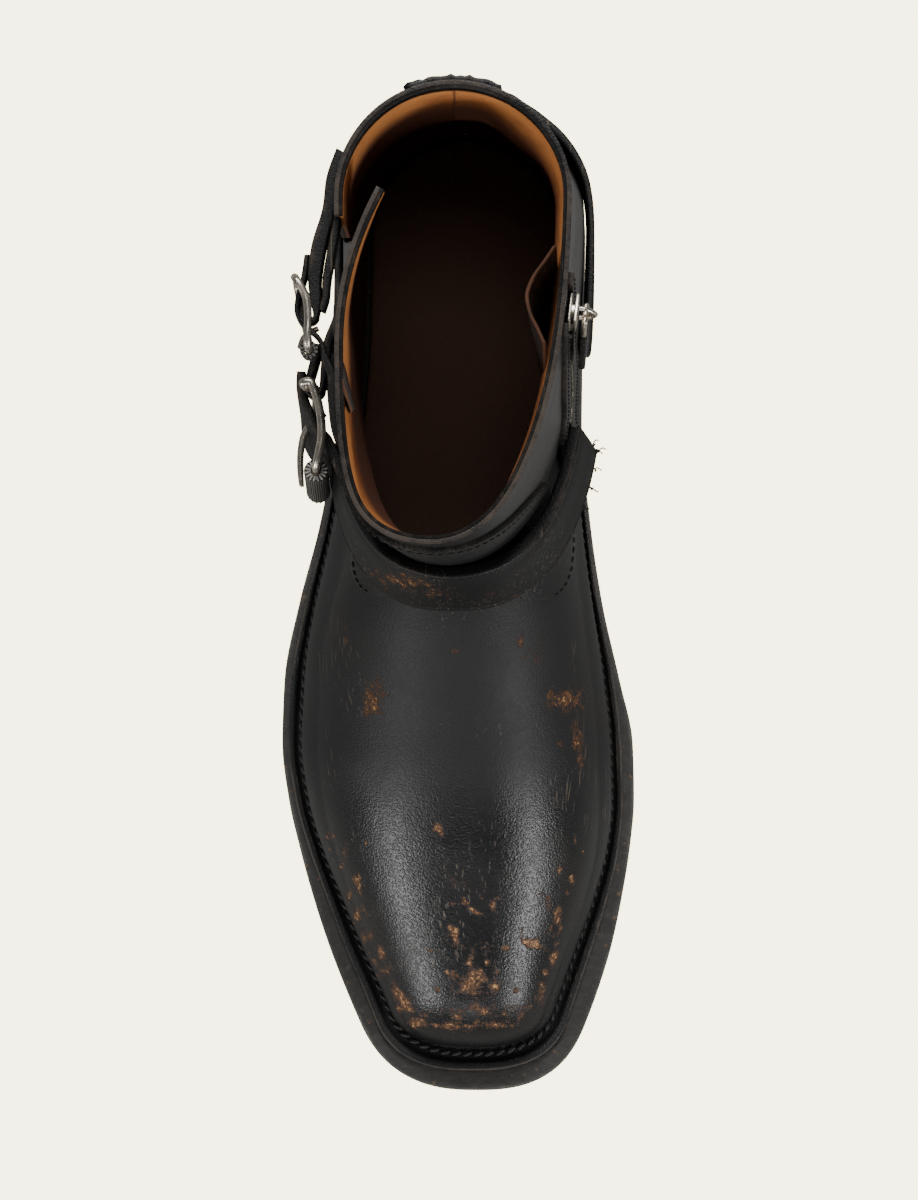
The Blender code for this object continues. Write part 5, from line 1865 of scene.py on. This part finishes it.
@dataclass
class StrapCut:
    """How a strap's edges are dressed."""

    radius: float = 0.95
    crease: float = 2.3
    crease_depth: float = 0.22

    def section(self, width: float, thickness: float) -> list[tuple[float, float, float]]:
        """The strap's section.

        Args:
            width: Its width.
            thickness: Its thickness.

        Returns:
            Places across and down from its outer top corner, and how rubbed each is.
        """
        r = min(self.radius, thickness * 0.46)
        c = min(self.crease, width / 4)
        places = [(r + 0.2, 0.0, 0.7), (c - 0.45, 0.0, 0.25), (c, self.crease_depth, 0.05),
                  (c + 0.45, 0.0, 0.2)]

        def corner(u: float, v: float, quarter: int, turns: Sequence[float],
                   rubbed: float) -> list[Triple]:
            """Places round one corner, from the middle of its rounding."""
            angles = [(quarter + turn) * math.pi / 2 for turn in turns]
            return [(u + r * math.cos(a), v + r * math.sin(a), rubbed) for a in angles]

        right, low = width - r, thickness - r
        crown = ((0.35, 0.05), (0.5, 0.08), (0.65, 0.05))
        inner_turns = (0.0, 0.33, 0.67, 1.0)
        return [
            *places,
            *((width * share, -rise, 0.05) for share, rise in crown),
            *((width - u, v, wear) for u, v, wear in reversed(places)),
            *corner(right, r, -1, (0.25, 0.5, 0.75, 1.0), 1.0),
            *corner(right, low, 0, inner_turns, 0.6),
            (width * 0.7, thickness, 0.0),
            (width * 0.3, thickness, 0.0),
            *corner(r, low, 1, inner_turns, 0.6),
            *corner(r, r, 2, (0.0, 0.25, 0.5, 0.75), 1.0),
        ]

    def strap(self, rings: list[Ring]) -> Mesh:
        """A strap through rings of four corners: outer top, outer low, inner low, inner top.

        Args:
            rings: The rings.

        Returns:
            The strap's mesh.
        """
        bm = bmesh.new()
        layer = vertex_layer(bm, "wear")
        sections = []
        for top, low, _, inner_top in rings:
            down, inward = low - top, inner_top - top
            cut = self.section(down.length, inward.length)
            down, inward = down.normalized(), inward.normalized()
            sections.append([(top + down * u + inward * v, wear) for u, v, wear in cut])
        around = len(sections[0])
        verts = grid(bm, around + 1, len(sections), lambda c, r: sections[r][c % around][0])
        for i, vert in enumerate(verts):
            vert[layer] = sections[i // (around + 1)][i % (around + 1) % around][1]
        close_up(bm)
        return bm

    def make(self, name: str, rings: list[Ring], steps: int, finish: Finish,
             nodes: Sequence[str] = (), chart: Chart | None = None) -> None:
        """Makes a strap as a finished piece.

        Args:
            name: The piece's name.
            rings: Its rings.
            steps: Rings made from each one.
            finish: What dresses it.
            nodes: CAD nodes that it stands for.
            chart: The scuffs on it.
        """
        bm = self.strap(refine_rings(rings, steps))
        if chart:
            chart.dress(bm)
        hand_over(bm, name, finish, Slot.BLACK, nodes, smooth_angle=50)


def level_way(degrees: float) -> Vector:
    """Level direction from an upright axis."""
    return Vector((math.cos(math.radians(degrees)), math.sin(math.radians(degrees)), 0))


def flat_ring(near: Vector, far: Vector, low: float, high: float) -> Ring:
    """An upright strap ring from its two faces in plan."""
    corners = ((near, high), (near, low), (far, low), (far, high))
    return [Vector((point.x, point.y, z)) for point, z in corners]


def plan_rings(rows: Rows, low: float, high: float) -> list[Ring]:
    """Upright strap rings from a table of both faces in plan."""
    return [flat_ring(Vector((a, b)), Vector((c, d)), low, high) for a, b, c, d in rows]


def hook_rings(bar: Vector, near: float, leather: float, low: float, high: float) -> list[Ring]:
    """The folded end of a strap round a buckle bar, from its boot side to its outer side.

    Args:
        bar: The bar's axis in plan.
        near: Distance of the leather from the axis.
        leather: Its thickness.
        low: Its lower edge.
        high: Its upper edge.

    Returns:
        The rings.
    """
    made = []
    for degrees in range(0, -181, -30):
        way = level_way(degrees)
        made.append(flat_ring(bar + way * near, bar + way * (near + leather), low, high))
    return made


def wire(bm: Mesh, path: Sequence[Vector], radius: Callable[[float], float],
         sides: int, closed: bool = False) -> None:
    """Sweeps a round wire along a path.

    Args:
        bm: The mesh to add to.
        path: The wire's middle line.
        radius: Its radius at a share of the way.
        sides: Points round it.
        closed: True if it closes on itself.
    """
    rings: list[Ring] = []
    count = len(path)
    angles = [2 * math.pi * k / sides for k in range(sides)]
    across = None
    for i, point in enumerate(path):
        before = path[i - 1] if closed or i else path[i]
        after = path[(i + 1) % count] if closed or i < count - 1 else path[i]
        way = (after - before).normalized()
        across = way.orthogonal() if across is None else across
        across = (across - way * across.dot(way)).normalized()
        other = way.cross(across)
        size = radius(i / max(count - 1, 1))
        rings.append([point + (across * math.cos(a) + other * math.sin(a)) * size for a in angles])
    rows = count + 1 if closed else count
    grid(bm, sides + 1, rows, lambda c, r: rings[r % count][c % sides])
    close_up(bm)


@dataclass
class Harness:
    """The strap over the instep and the one round the heel, which the big buckle joins."""

    finishes: Finishes
    chart: Chart
    thickness: float = 2.7
    clear: float = 0.8
    top_lean: float = 0.5
    instep_steps: int = 2
    held: int = 6
    instep: Rows = (
        (34.6, -62.5, 108, 40.2, -69, 83.5), (31.5, -76, 111, 38, -79.5, 85),
        (27.3, -86, 114, 33.8, -90.5, 88), (19.4, -96, 119, 24.5, -104.8, 93.5),
        (8.5, -103, 122.8, 10.5, -113.8, 98), (-3.2, -105.7, 124, -3.2, -115.8, 100),
        (-14, -104.4, 122, -16.2, -114.6, 98), (-24, -99.6, 118.2, -27.5, -108.2, 94),
        (-31.5, -91, 114.5, -35.6, -97, 90), (-36.6, -81, 111.5, -40, -84.5, 86.5),
        (-39.6, -74, 110, -42.6, -74.8, 85), (-41.8, -70, 109.7, -47.2, -71.4, 84.6),
        (-44, -66, 109.4, -49.6, -66.4, 84.4), (-48, -58, 109.2, -50.4, -58, 84.2),
        (-50.6, -50.5, 109, -51.4, -50.5, 84), (-50.5, -45.5, 109, -51.2, -45.5, 84))
    snug: float = 0.35
    probes: tuple[float, ...] = tuple(k / 6 for k in range(7))
    look_from: float = 60.0
    angles: range = range(-8, 175, 3)
    low: float = 84.0
    high: float = 109.0
    dip: float = 6.0
    reach_rows: Rows = ((-42.4, -36, -39.6, -36.6), (-43.4, -44, -40.6, -44.6))
    tuck_rows: Rows = (
        (-45.4, -46.5, -47.6, -46), (-44.1, -42, -46.4, -41.6), (-43.1, -37.5, -44.9, -37.2))
    chape_rows: Rows = (
        (-41.6, -40, -38.4, -40), (-41.7, -48, -38.6, -48), (-41.2, -56, -38.2, -56),
        (-40.3, -63, -37.6, -62.6), (-38, -70, -35.6, -69.4))
    threads: tuple[tuple[int, float, float, float], ...] = (
        (0, 0, 2.6, 20), (0, 0.06, 2, -30), (0, 0.2, 2.4, 60), (1, 0, 2.2, 10), (2, 0, 2.6, -20),
        (3, 0, 2, -50))
    torn_rows: Rows = (
        (-36.4, -47, -34.6, -46.8, 170, 184.8), (-35.8, -51, -33.7, -50.7, 170, 185.4),
        (-34.8, -55.5, -32.7, -55, 170, 185.6), (-33.2, -59.5, -31.8, -58.9, 171, 185.2))
    torn_from: float = -56.0
    thread_radius: float = 0.27
    bar: Vector = field(default_factory=lambda: Vector((-45.4, -50.5, 0.0)))
    bar_radius: float = 1.25
    fold: float = 1.5
    under_heel_strap: tuple[str, ...] = (
        "upper_leather", "backstay_leather", "zip_facing_back_leather", "zip_facing_front_leather",
        "zip_teeth")
    behind: tuple[str, ...] = (
        "upper", "vamp_tab", "side_tab_lateral", "side_tab_medial", "backstay", "zip_facing_front",
        "zip_facing_back", "zip_chain")

    def build(self) -> None:
        """Makes both straps, and the small pieces of leather and thread that go with them."""
        cut, strap = StrapCut(), self.finishes.strap
        rings = self.instep_rings(tree_of(self.behind))
        cut.make("instep_strap_leather", rings, 4, strap, ["instep_strap"], self.chart)
        heel = self.heel_rings(tree_of(self.under_heel_strap))
        cut.make("heel_strap_leather", heel, 3, strap, ["heel_strap"])
        self.loose_threads(rings)
        bm = cut.strap(refine_rings([flat_ring(Vector((a, b)), Vector((c, d)), low, high)
                                     for a, b, c, d, low, high in self.torn_rows], 4))
        for vert in bm.verts:
            torn = smooth((self.torn_from - vert.co.y) / 4.0)
            vert.co.y += torn * 1.6 * math.sin(vert.co.z * 1.9 + vert.co.x)
            vert.co.x += torn * 0.5 * math.sin(vert.co.z * 1.3)
        hand_over(bm, "collar_torn_tab_leather", self.finishes.guard, Slot.BLACK, smooth_angle=50)
        chape = plan_rings(self.chape_rows, self.low + 1.0, self.high - 0.6)
        cut.make("buckle_chape_leather", chape, 5, strap)

    def loose_threads(self, rings: list[Ring]) -> None:
        """Makes the threads that stand off the first rings of the instep strap.

        Args:
            rings: The strap's rings.
        """
        bm = bmesh.new()
        for i, up, reach, turn in self.threads:
            top, low, inner_low, _ = rings[i]
            start = low.lerp(top, up) + (inner_low - low) * 0.25
            path = []
            for k in range(10):
                curl = Vector((0.5 * math.sin(k * 0.9),
                               0.5 * math.sin(k * 1.1 + i) - 0.5 * math.sin(i), 0.25 * k))
                path.append(start + level_way(turn) * (reach * k / 9) + curl)
            wire(bm, path, lambda share: self.thread_radius * (1.1 - 0.4 * share), 6)
        hand_over(bm, "loose_threads", self.finishes.thread, Slot.BLACK)

    def instep_rings(self, tree: BVHTree) -> list[Ring]:
        """Rings of the strap over the instep, clear of what is behind it.

        The last rings, held at the buckle, keep the table's place. The others move outward as far
        as they are short of clear, smoothed along the strap, and their inner top edge leans in.

        Args:
            tree: Rays onto what is behind it.

        Returns:
            The rings.
        """
        rows = refine(self.instep, self.instep_steps)
        tops, lows = ([Vector(row[k:k + 3]) for row in rows] for k in (0, 3))
        rings = []
        for i, (top, low) in enumerate(zip(tops, lows)):
            before, after = max(i - 1, 0), min(i + 1, len(rows) - 1)
            along = (tops[after] + lows[after] - tops[before] - lows[before]).normalized()
            inward = (top - low).cross(along).normalized() * -self.thickness
            rings.append([top.copy(), low.copy(), low + inward, top + inward])
        free = len(rows) - self.held
        shorts = [self.short_of(tree, ring) for ring in rings[:free]] + [0.0] * self.held
        wide = [max(shorts[max(i - 1, 0):i + 2]) for i in range(len(shorts))]
        for i, ring in enumerate(rings[:free]):
            around = wide[max(i - 2, 0):i + 3]
            out = ring[1] - ring[2]
            way = Vector((out.x, out.y, 0)).normalized()
            for point in ring:
                point += way * sum(around) / len(around)
            ring[3] += (ring[3] - ring[0]) * self.top_lean
        return rings

    def short_of(self, tree: BVHTree, ring: Ring) -> float:
        """How far a ring must move outward to stand clear.

        Args:
            tree: Rays onto what is behind it.
            ring: The ring.

        Returns:
            The distance.
        """
        _, low, inner_low, inner_top = ring
        out = low - inner_low
        way = Vector((out.x, out.y, 0)).normalized()
        short = 0.0
        for share in self.probes:
            start = inner_low.lerp(inner_top, share) + way * self.look_from
            hit, _, _, distance = tree.ray_cast(start, -way, self.look_from + 30)
            if hit:
                short = max(short, self.look_from - distance + self.clear)
        return short

    def heel_rings(self, tree: BVHTree) -> list[Ring]:
        """Rings of the strap round the heel, to its fold over the buckle's rear bar.

        Args:
            tree: Rays onto what is behind it.

        Returns:
            The rings.
        """
        rings, reaches, edges = [], [], []
        axis = Vector((0.0, -35.0, 0.0))
        for degrees in self.angles:
            near = level_way(degrees)
            share = (degrees - self.angles[0]) / (self.angles[-1] - self.angles[0])
            down = self.dip * math.sin(math.pi * share)
            edges.append((self.low - down, self.high - down))
            reach = 0.0
            for share in self.probes:
                start = axis + Vector((0, 0, mix(*edges[-1], share))) + near * OUTSIDE
                hit, _, _, distance = tree.ray_cast(start, -near)
                reach = max(reach, OUTSIDE - distance if hit else 0.0)
            reaches.append(reach)
        for i, degrees in enumerate(self.angles):
            around = reaches[max(i - 2, 0):i + 3]
            reach = max(sum(around) / len(around), reaches[i] - 0.2)
            way = level_way(degrees)
            inner = axis + way * (reach + self.snug)
            rings.append(flat_ring(inner + way * self.thickness, inner, *edges[i]))
        rings += plan_rings(self.reach_rows, self.low, self.high)
        rings += hook_rings(self.bar, self.bar_radius + 0.3, self.fold, self.low, self.high)
        return rings + plan_rings(self.tuck_rows, self.low, self.high)


@dataclass
class RollerBuckle:
    """A wire frame with a roller on its front bar and a prong from its rear bar."""

    name: str
    finishes: Finishes
    loop: Rows
    thickness: float
    roller_low: Triple
    roller_high: Triple
    roller_radius: float
    prong: Rows
    prong_radius: float
    diamonds: int
    knurl: float = 0.42

    def build(self) -> None:
        """Makes the frame, the roller and the prong."""
        bm = bmesh.new()
        path = [Vector(row) for row in refine(self.loop, 8, closed=True)]
        wire(bm, path, lambda share: self.thickness, 16, closed=True)
        hand_over(bm, self.name + "_nickel_frame", self.finishes.nickel, Slot.STEEL,
                  [self.name + "_frame"])
        self.roller()
        bm = bmesh.new()
        path = [Vector(row) for row in refine(self.prong, 6)]
        wire(bm, path, lambda share: self.prong_radius * (1.05 - 0.35 * share**3), 14)
        soften(bm, self.prong_radius * 0.35, 2, 60)
        hand_over(bm, self.name + "_nickel_prong", self.finishes.nickel, Slot.STEEL,
                  [self.name + "_prong"])

    def roller(self) -> None:
        """Makes the roller, with its diamond knurling and its bore."""
        low, high = Vector(self.roller_low), Vector(self.roller_high)
        axis = (high - low).normalized()
        across = axis.orthogonal().normalized()
        other = axis.cross(across)
        length = (high - low).length
        around = self.diamonds * 8
        pitch = 2 * math.pi * self.roller_radius / self.diamonds
        along = max(int(length / pitch * 8), 8)
        bore = self.thickness + 0.3
        bm = bmesh.new()
        hollow = vertex_layer(bm, "hollow")

        def relief(column: int, row: int) -> float:
            """Height of the knurling, from 0 in its grooves to 1 on its points."""
            a, b = column / around * self.diamonds, row / along * length / pitch
            ridges = [1 - abs(((a + sign * b) % 1) * 2 - 1) for sign in (1, -1)]
            return min(min(ridges) * 1.5, 1.0) ** 1.5

        def spoke(column: int) -> Vector:
            """The way out from the axis at a column."""
            turn = 2 * math.pi * (column % around) / around
            return across * math.cos(turn) + other * math.sin(turn)

        def place(column: int, row: int) -> Vector:
            """A point of the roller's outside, or of its bore on the first and last row."""
            step = row - 2
            share = min(max(step / along, 0.0), 1.0)
            size = self.roller_radius - self.knurl * (1 - relief(column % around, step))
            if row in (0, along + 4):
                size = bore
            elif row in (1, along + 3):
                size = self.roller_radius - self.knurl - 0.2
            return low.lerp(high, share) + spoke(column) * size

        verts = grid(bm, around + 1, along + 5, place)
        for i, vert in enumerate(verts):
            row, column = divmod(i, around + 1)
            vert[hollow] = min(1.3 * (1 - relief(column % around, row - 2)), 1.0)
        grid(bm, around + 1, 2, lambda c, r: (low, high)[r] + spoke(c) * bore)
        bmesh.ops.remove_doubles(bm, verts=bm.verts, dist=MERGE)
        bmesh.ops.recalc_face_normals(bm, faces=bm.faces)
        hand_over(bm, self.name + "_knurled_roller", self.finishes.dark_steel, Slot.STEEL,
                  [self.name + "_roller"], smooth_angle=70)


@dataclass
class CollarStrap:
    """The short strap from the back of the collar and the billet through its small buckle."""

    finishes: Finishes
    low: float = 167.0
    high: float = 182.0
    bar: Vector = field(default_factory=lambda: Vector((-44.6, -33.0, 0.0)))
    strap_rows: Rows = (
        (-36.8, 14.2, -34, 12.6), (-39.6, 6.2, -36.4, 5.4), (-40.8, -3, -37.2, -3.2),
        (-43.8, -13, -39.8, -13.8), (-44.9, -22, -41.2, -22.8), (-44.3, -28.5, -41.2, -29))
    inner_rows: Rows = (
        (-37, 5, -34.8, 4.6), (-37.4, -3.4, -35.2, -3.4), (-39.2, -13.6, -36.8, -13.9),
        (-40.7, -22.6, -38.4, -23), (-41, -28, -39, -28.6), (-41.8, -31.4, -40.2, -32.2))
    tuck_rows: Rows = ((-45.6, -30, -46.5, -29.6), (-44.8, -26.5, -45.7, -26.2))
    billet_rows: Rows = (
        (-38, -66.2, -35.3, -66), (-38.8, -58, -35.8, -57.9), (-39.4, -50, -36.6, -50),
        (-41.2, -44.5, -39.4, -44.2), (-41.5, -41.5, -40.2, -41), (-43.6, -38.8, -42.5, -37.9),
        (-46.7, -36.4, -45.8, -35.3), (-48.6, -32.8, -47.2, -32.6), (-48.4, -28, -46.8, -27.8),
        (-46.9, -22.5, -45.2, -22.2), (-45.9, -16, -44.4, -16))

    def build(self) -> None:
        """Makes the strap with its fold, and the billet."""
        cut, finish = StrapCut(radius=0.6, crease=1.7, crease_depth=0.15), self.finishes.strap
        rings = plan_rings(self.strap_rows, self.low, self.high)
        rings += hook_rings(self.bar, 1.2, 1.6, self.low, self.high)
        rings += plan_rings(self.tuck_rows, self.low, self.high)
        cut.make("collar_strap_leather", rings, 5, finish, ["collar_strap"])
        rings = plan_rings(self.inner_rows, self.low + 0.4, self.high - 0.4)
        cut.make("collar_strap_fold_leather", rings, 5, finish)
        rings = plan_rings(refine(self.billet_rows, 2), self.low + 1.0, self.high - 1.0)
        cut.make("collar_billet_leather", rings, 4, finish, ["collar_billet"])


@dataclass
class Zip:
    """The zip on the inner side: tape, teeth, leather edges, slider, pull and the flap behind."""

    upper: Upper
    finishes: Finishes
    line: Rows = ((50, -79), (66, -73.5), (92, -64), (118, -54.5), (150, -42.5), (188, -28))
    foot: float = 62.0
    top: float = 183.0
    chain_top: float = 169.0
    slider_room: float = 2.6
    slider_z: float = 177.0
    hinge_up: float = 0.5
    hinge_out: float = 5.5
    pitch: float = 1.25
    slider_plate: Rows = (
        (-3.4, -5.5), (3.4, -5.5), (4.4, -1), (4.4, 4.5), (-4.4, 4.5), (-4.4, -1))
    bail: Rows = ((-2.5, 3.7), (-2.5, 5.6), (0.5, 8.4), (3.6, 5.6), (3.6, 3.7))
    pull_ring: Rows = ((-2.4, 0), (2.4, 0), (3.4, -1.9), (3.4, -7.5), (-3.4, -7.5), (-3.4, -1.9))
    pull_tab: Rows = (
        (-4.6, -8.8), (4.6, -8.8), (5, -12), (5, -28), (3.2, -31), (-3.2, -31), (-5, -28),
        (-5, -12))
    tooth: Triple = (2.3, 0.72, 1.5)
    tooth_aside: float = 0.95
    tape_half: float = 3.6
    guard_low: float = 132.0
    guard_high: float = 182.0
    guard_back: float = 17.0
    guard_front: float = -11.0
    guard_gap: float = 0.9
    guard_thickness: float = 1.1
    guard_bulge: tuple[float, ...] = (0.6, 3.5, 6.4, 7.6, 6.4, 3.6, 0.8)
    middle: Curve = field(init=False)

    def __post_init__(self) -> None:
        """Draws the zip's middle line once, as its place along the foot at each height."""
        (self.middle,) = curves(self.line)

    def place(self, offset: float, z: float, lift: float = 0.0) -> Vector:
        """A place beside the zip's line, on the leather or lifted off it."""
        point, normal = self.upper.from_side(Side.INNER, self.middle(z) + offset, z)
        return point + (normal if normal.x > 0 else -normal) * lift

    def build(self) -> None:
        """Makes every piece of the zip."""
        self.facings()
        self.chain()
        self.slider()
        self.guard()

    def facings(self) -> None:
        """Makes the leather edges on both sides of the teeth."""
        overlay = Overlay(self.upper)
        thread = bmesh.new()
        for name, near, far in (("zip_facing_front", -2.8, -9.0), ("zip_facing_back", 2.8, 9.0)):

            def strip(across: float, along: float, near: float = near, far: float = far) -> Vector:
                """Place on the strip."""
                z = mix(self.foot, self.top, along)
                room = self.slider_room * smooth((z - self.chain_top + 4) / 4)
                return self.place(mix(near + math.copysign(room, near), far, across), z)

            bm = overlay.lay(9, 110, strip)
            hand_over(bm, name + "_leather", self.finishes.overlay, Slot.BLACK, [name])
            line = [strip(0.7, mix(0.01, 0.99, i / 120)) for i in range(121)]
            StitchRow().sew(thread, overlay.seam(line))
        hand_over(thread, "zip_stitches", self.finishes.thread, Slot.BLACK)

    def chain(self) -> None:
        """Makes the tape and the teeth."""
        overlay = Overlay(self.upper, thickness=0.5)
        low, high, half = self.foot + 2, self.chain_top + 6, self.tape_half
        tape = overlay.lay(7, 100, lambda u, v: self.place(mix(-half, half, u), mix(low, high, v)))
        hand_over(tape, "zip_tape", self.finishes.thread, Slot.BLACK)
        bm = bmesh.new()
        low, high = self.foot + 3, self.chain_top - 3
        count = int((high - low) / self.pitch * 2)
        for i in range(count):
            z = mix(low, high, i / count)
            aside = -self.tooth_aside if i % 2 else self.tooth_aside
            point, above = self.place(aside, z, 1.15), self.place(aside, z + 1, 1.15)
            along = (above - point).normalized()
            out = (self.place(aside, z, 2.15) - point).normalized()
            matrix = placed(point, (along.cross(out), along, out), self.tooth)
            tooth = bmesh.ops.create_cube(bm, size=1.0, matrix=matrix)["verts"]
            edges = list({edge for vert in tooth for edge in vert.link_edges})
            bmesh.ops.bevel(bm, geom=edges, offset=0.18, segments=1, profile=0.5, affect="EDGES",
                            material=-1)
        hand_over(bm, "zip_teeth", self.finishes.teeth, Slot.STEEL, ["zip_chain"])

    def slider(self) -> None:
        """Makes the slider, its bail and the pull that hangs from it."""
        tree = tree_of(["upper"])
        start = Vector((OUTSIDE, self.middle(self.slider_z), self.slider_z))
        place, normal, _, _ = tree.ray_cast(start, Vector((-1, 0, 0)))
        rise = self.middle(self.slider_z + 5) - self.middle(self.slider_z - 5)
        up = Vector((0, rise, 10)).normalized()
        along = up.cross(normal).normalized()
        axes = (along, up, along.cross(up))
        turn = Matrix(axes).transposed()

        def at(a: float, b: float, out: float) -> Vector:
            """A point from the slider's own measures."""
            return place + turn @ Vector((a, b, out))

        bm = bmesh.new()
        for faces in ((0.6, 1.5), (2.3, 3.4)):
            grid(bm, 7, 2, lambda c, r, faces=faces: at(*self.slider_plate[c % 6], faces[r]))
        web = placed(at(0, 1.5, 1.9), axes, (2.4, 4.4, 2.0))
        bmesh.ops.create_cube(bm, size=1.0, matrix=web)
        close_up(bm)
        soften(bm, 0.4, 3, 30)
        hand_over(bm, "zip_slider_nickel", self.finishes.nickel, Slot.STEEL, ["zip_slider"])
        bm = bmesh.new()
        wire(bm, [at(0, b, out) for b, out in refine(self.bail, 5)], lambda share: 0.7, 12)
        hand_over(bm, "zip_bail_nickel", self.finishes.nickel, Slot.STEEL, ["zip_bail"])
        self.pull(at)

    def pull(self, at: Callable[[float, float, float], Vector]) -> None:
        """Makes the ring through the bail and its leather tab.

        Args:
            at: Gives a point from the slider's own measures.
        """
        up, out = self.hinge_up, self.hinge_out
        bm = bmesh.new()
        path = [at(a, up + b, out) for a, b in self.pull_ring]
        dense = [path[i].lerp(path[(i + 1) % 6], k / 6) for i in range(6) for k in range(6)]
        wire(bm, dense, lambda share: 0.8, 12, closed=True)
        hand_over(bm, "zip_pull_ring", self.finishes.nickel, Slot.STEEL, ["zip_pull"], Body.PULL)
        rings = [[at(a, up + b, out + deep) for a, b in self.pull_tab] for deep in (-1.0, 1.0)]
        bm = bmesh.new()
        grid(bm, 9, 2, lambda c, r: rings[r][c % 8])
        close_up(bm)
        soften(bm, 0.45, 3, 30)
        hand_over(bm, "zip_pull_leather", self.finishes.strap, Slot.BLACK, ["zip_pull_tab"],
                  Body.PULL)

    def guard(self) -> None:
        """Makes the leather flap behind the zip."""
        bulge = Curve([i / 6 for i in range(7)], self.guard_bulge)
        columns, rows = 31, 25
        bm = bmesh.new()

        def place(column: int, row: int) -> Vector:
            """A point of the flap's outer face."""
            up, share = row / (rows - 1), column / (columns - 1)
            z = mix(self.guard_low, self.guard_high, up)
            y = self.middle(z) + mix(self.guard_back, self.guard_front, share)
            wall = self.upper.from_side(Side.INNER, y, z)[0].x - self.upper.wall
            return Vector((wall - self.guard_gap - bulge(share) * mix(0.35, 1.0, up), y, z))

        grid(bm, columns, rows, place)
        raise_wall(bm, lambda vert: Vector((-self.guard_thickness, 0, 0)))
        soften(bm, 0.4, 2, 50)
        hand_over(bm, "zip_guard_leather", self.finishes.guard, Slot.TAN, ["zip_guard"])


def buckles(finishes: Finishes) -> list[RollerBuckle]:
    """The big buckle on the instep strap and the small one at the collar.

    Args:
        finishes: What dresses them.

    Returns:
        Both buckles.
    """
    big = RollerBuckle(
        "buckle", finishes,
        ((-45.4, -50.5, 84.0), (-45.4, -50.5, 97.0), (-45.6, -50.5, 108.6), (-47.6, -50.4, 111.6),
         (-48.5, -49.2, 113.0), (-46.4, -48.9, 113.5), (-44.8, -52.4, 113.6), (-43.4, -58.0, 113.7),
         (-42.9, -65.0, 113.8), (-44.2, -72.2, 113.6), (-44.8, -75.0, 111.4),
         (-44.8, -78.2, 97.0), (-44.8, -81.4, 82.6), (-44.4, -79.4, 80.2), (-44.6, -71.0, 79.8),
         (-45.6, -58.0, 79.8), (-45.6, -52.2, 80.4)),
        1.3, (-44.8, -81.1, 83.8), (-44.8, -75.3, 110.2), 3.65,
        ((-42.4, -57.6, 97.3), (-45.6, -60.0, 97.3), (-48.6, -64.0, 97.3), (-49.8, -70.0, 97.3),
         (-49.8, -76.0, 97.3), (-49.4, -80.0, 97.3)), 1.1, 16)
    small = RollerBuckle(
        "collar_buckle", finishes,
        ((-48.6, -22.5, 167.0), (-48.6, -22.5, 181.0), (-48.0, -23.4, 184.4), (-45.4, -28.0, 184.8),
         (-44.7, -34.0, 184.8), (-45.0, -41.0, 184.6), (-44.6, -43.0, 182.0),
         (-44.6, -43.0, 167.0), (-44.9, -41.4, 164.4), (-46.6, -33.0, 164.2),
         (-48.4, -24.2, 164.4)),
        1.15, (-44.6, -43.0, 167.4), (-44.6, -43.0, 181.6), 2.6,
        ((-42.0, -36.6, 174.5), (-45.0, -37.9, 174.5), (-46.6, -39.6, 174.5),
         (-47.7, -42.4, 174.5)), 0.8, 12, knurl=0.2)
    return [big, small]


def main() -> None:
    """Builds the boot's looks in order."""
    logging.basicConfig(level=logging.INFO, format="%(name)s %(message)s")
    view = PhotoView()
    view.camera()
    Studio().build()
    finishes = Finishes()
    last = BootLast()
    chart = Chart(view)
    upper = Upper(last, finishes, chart)
    upper.build()
    Overlays(upper, finishes, chart).build()
    SolePack(last, finishes).build()
    Zip(upper, finishes).build()
    Harness(finishes, chart).build()
    for buckle in buckles(finishes):
        buckle.build()
    CollarStrap(finishes).build()


if __name__ == "__main__":
    main()
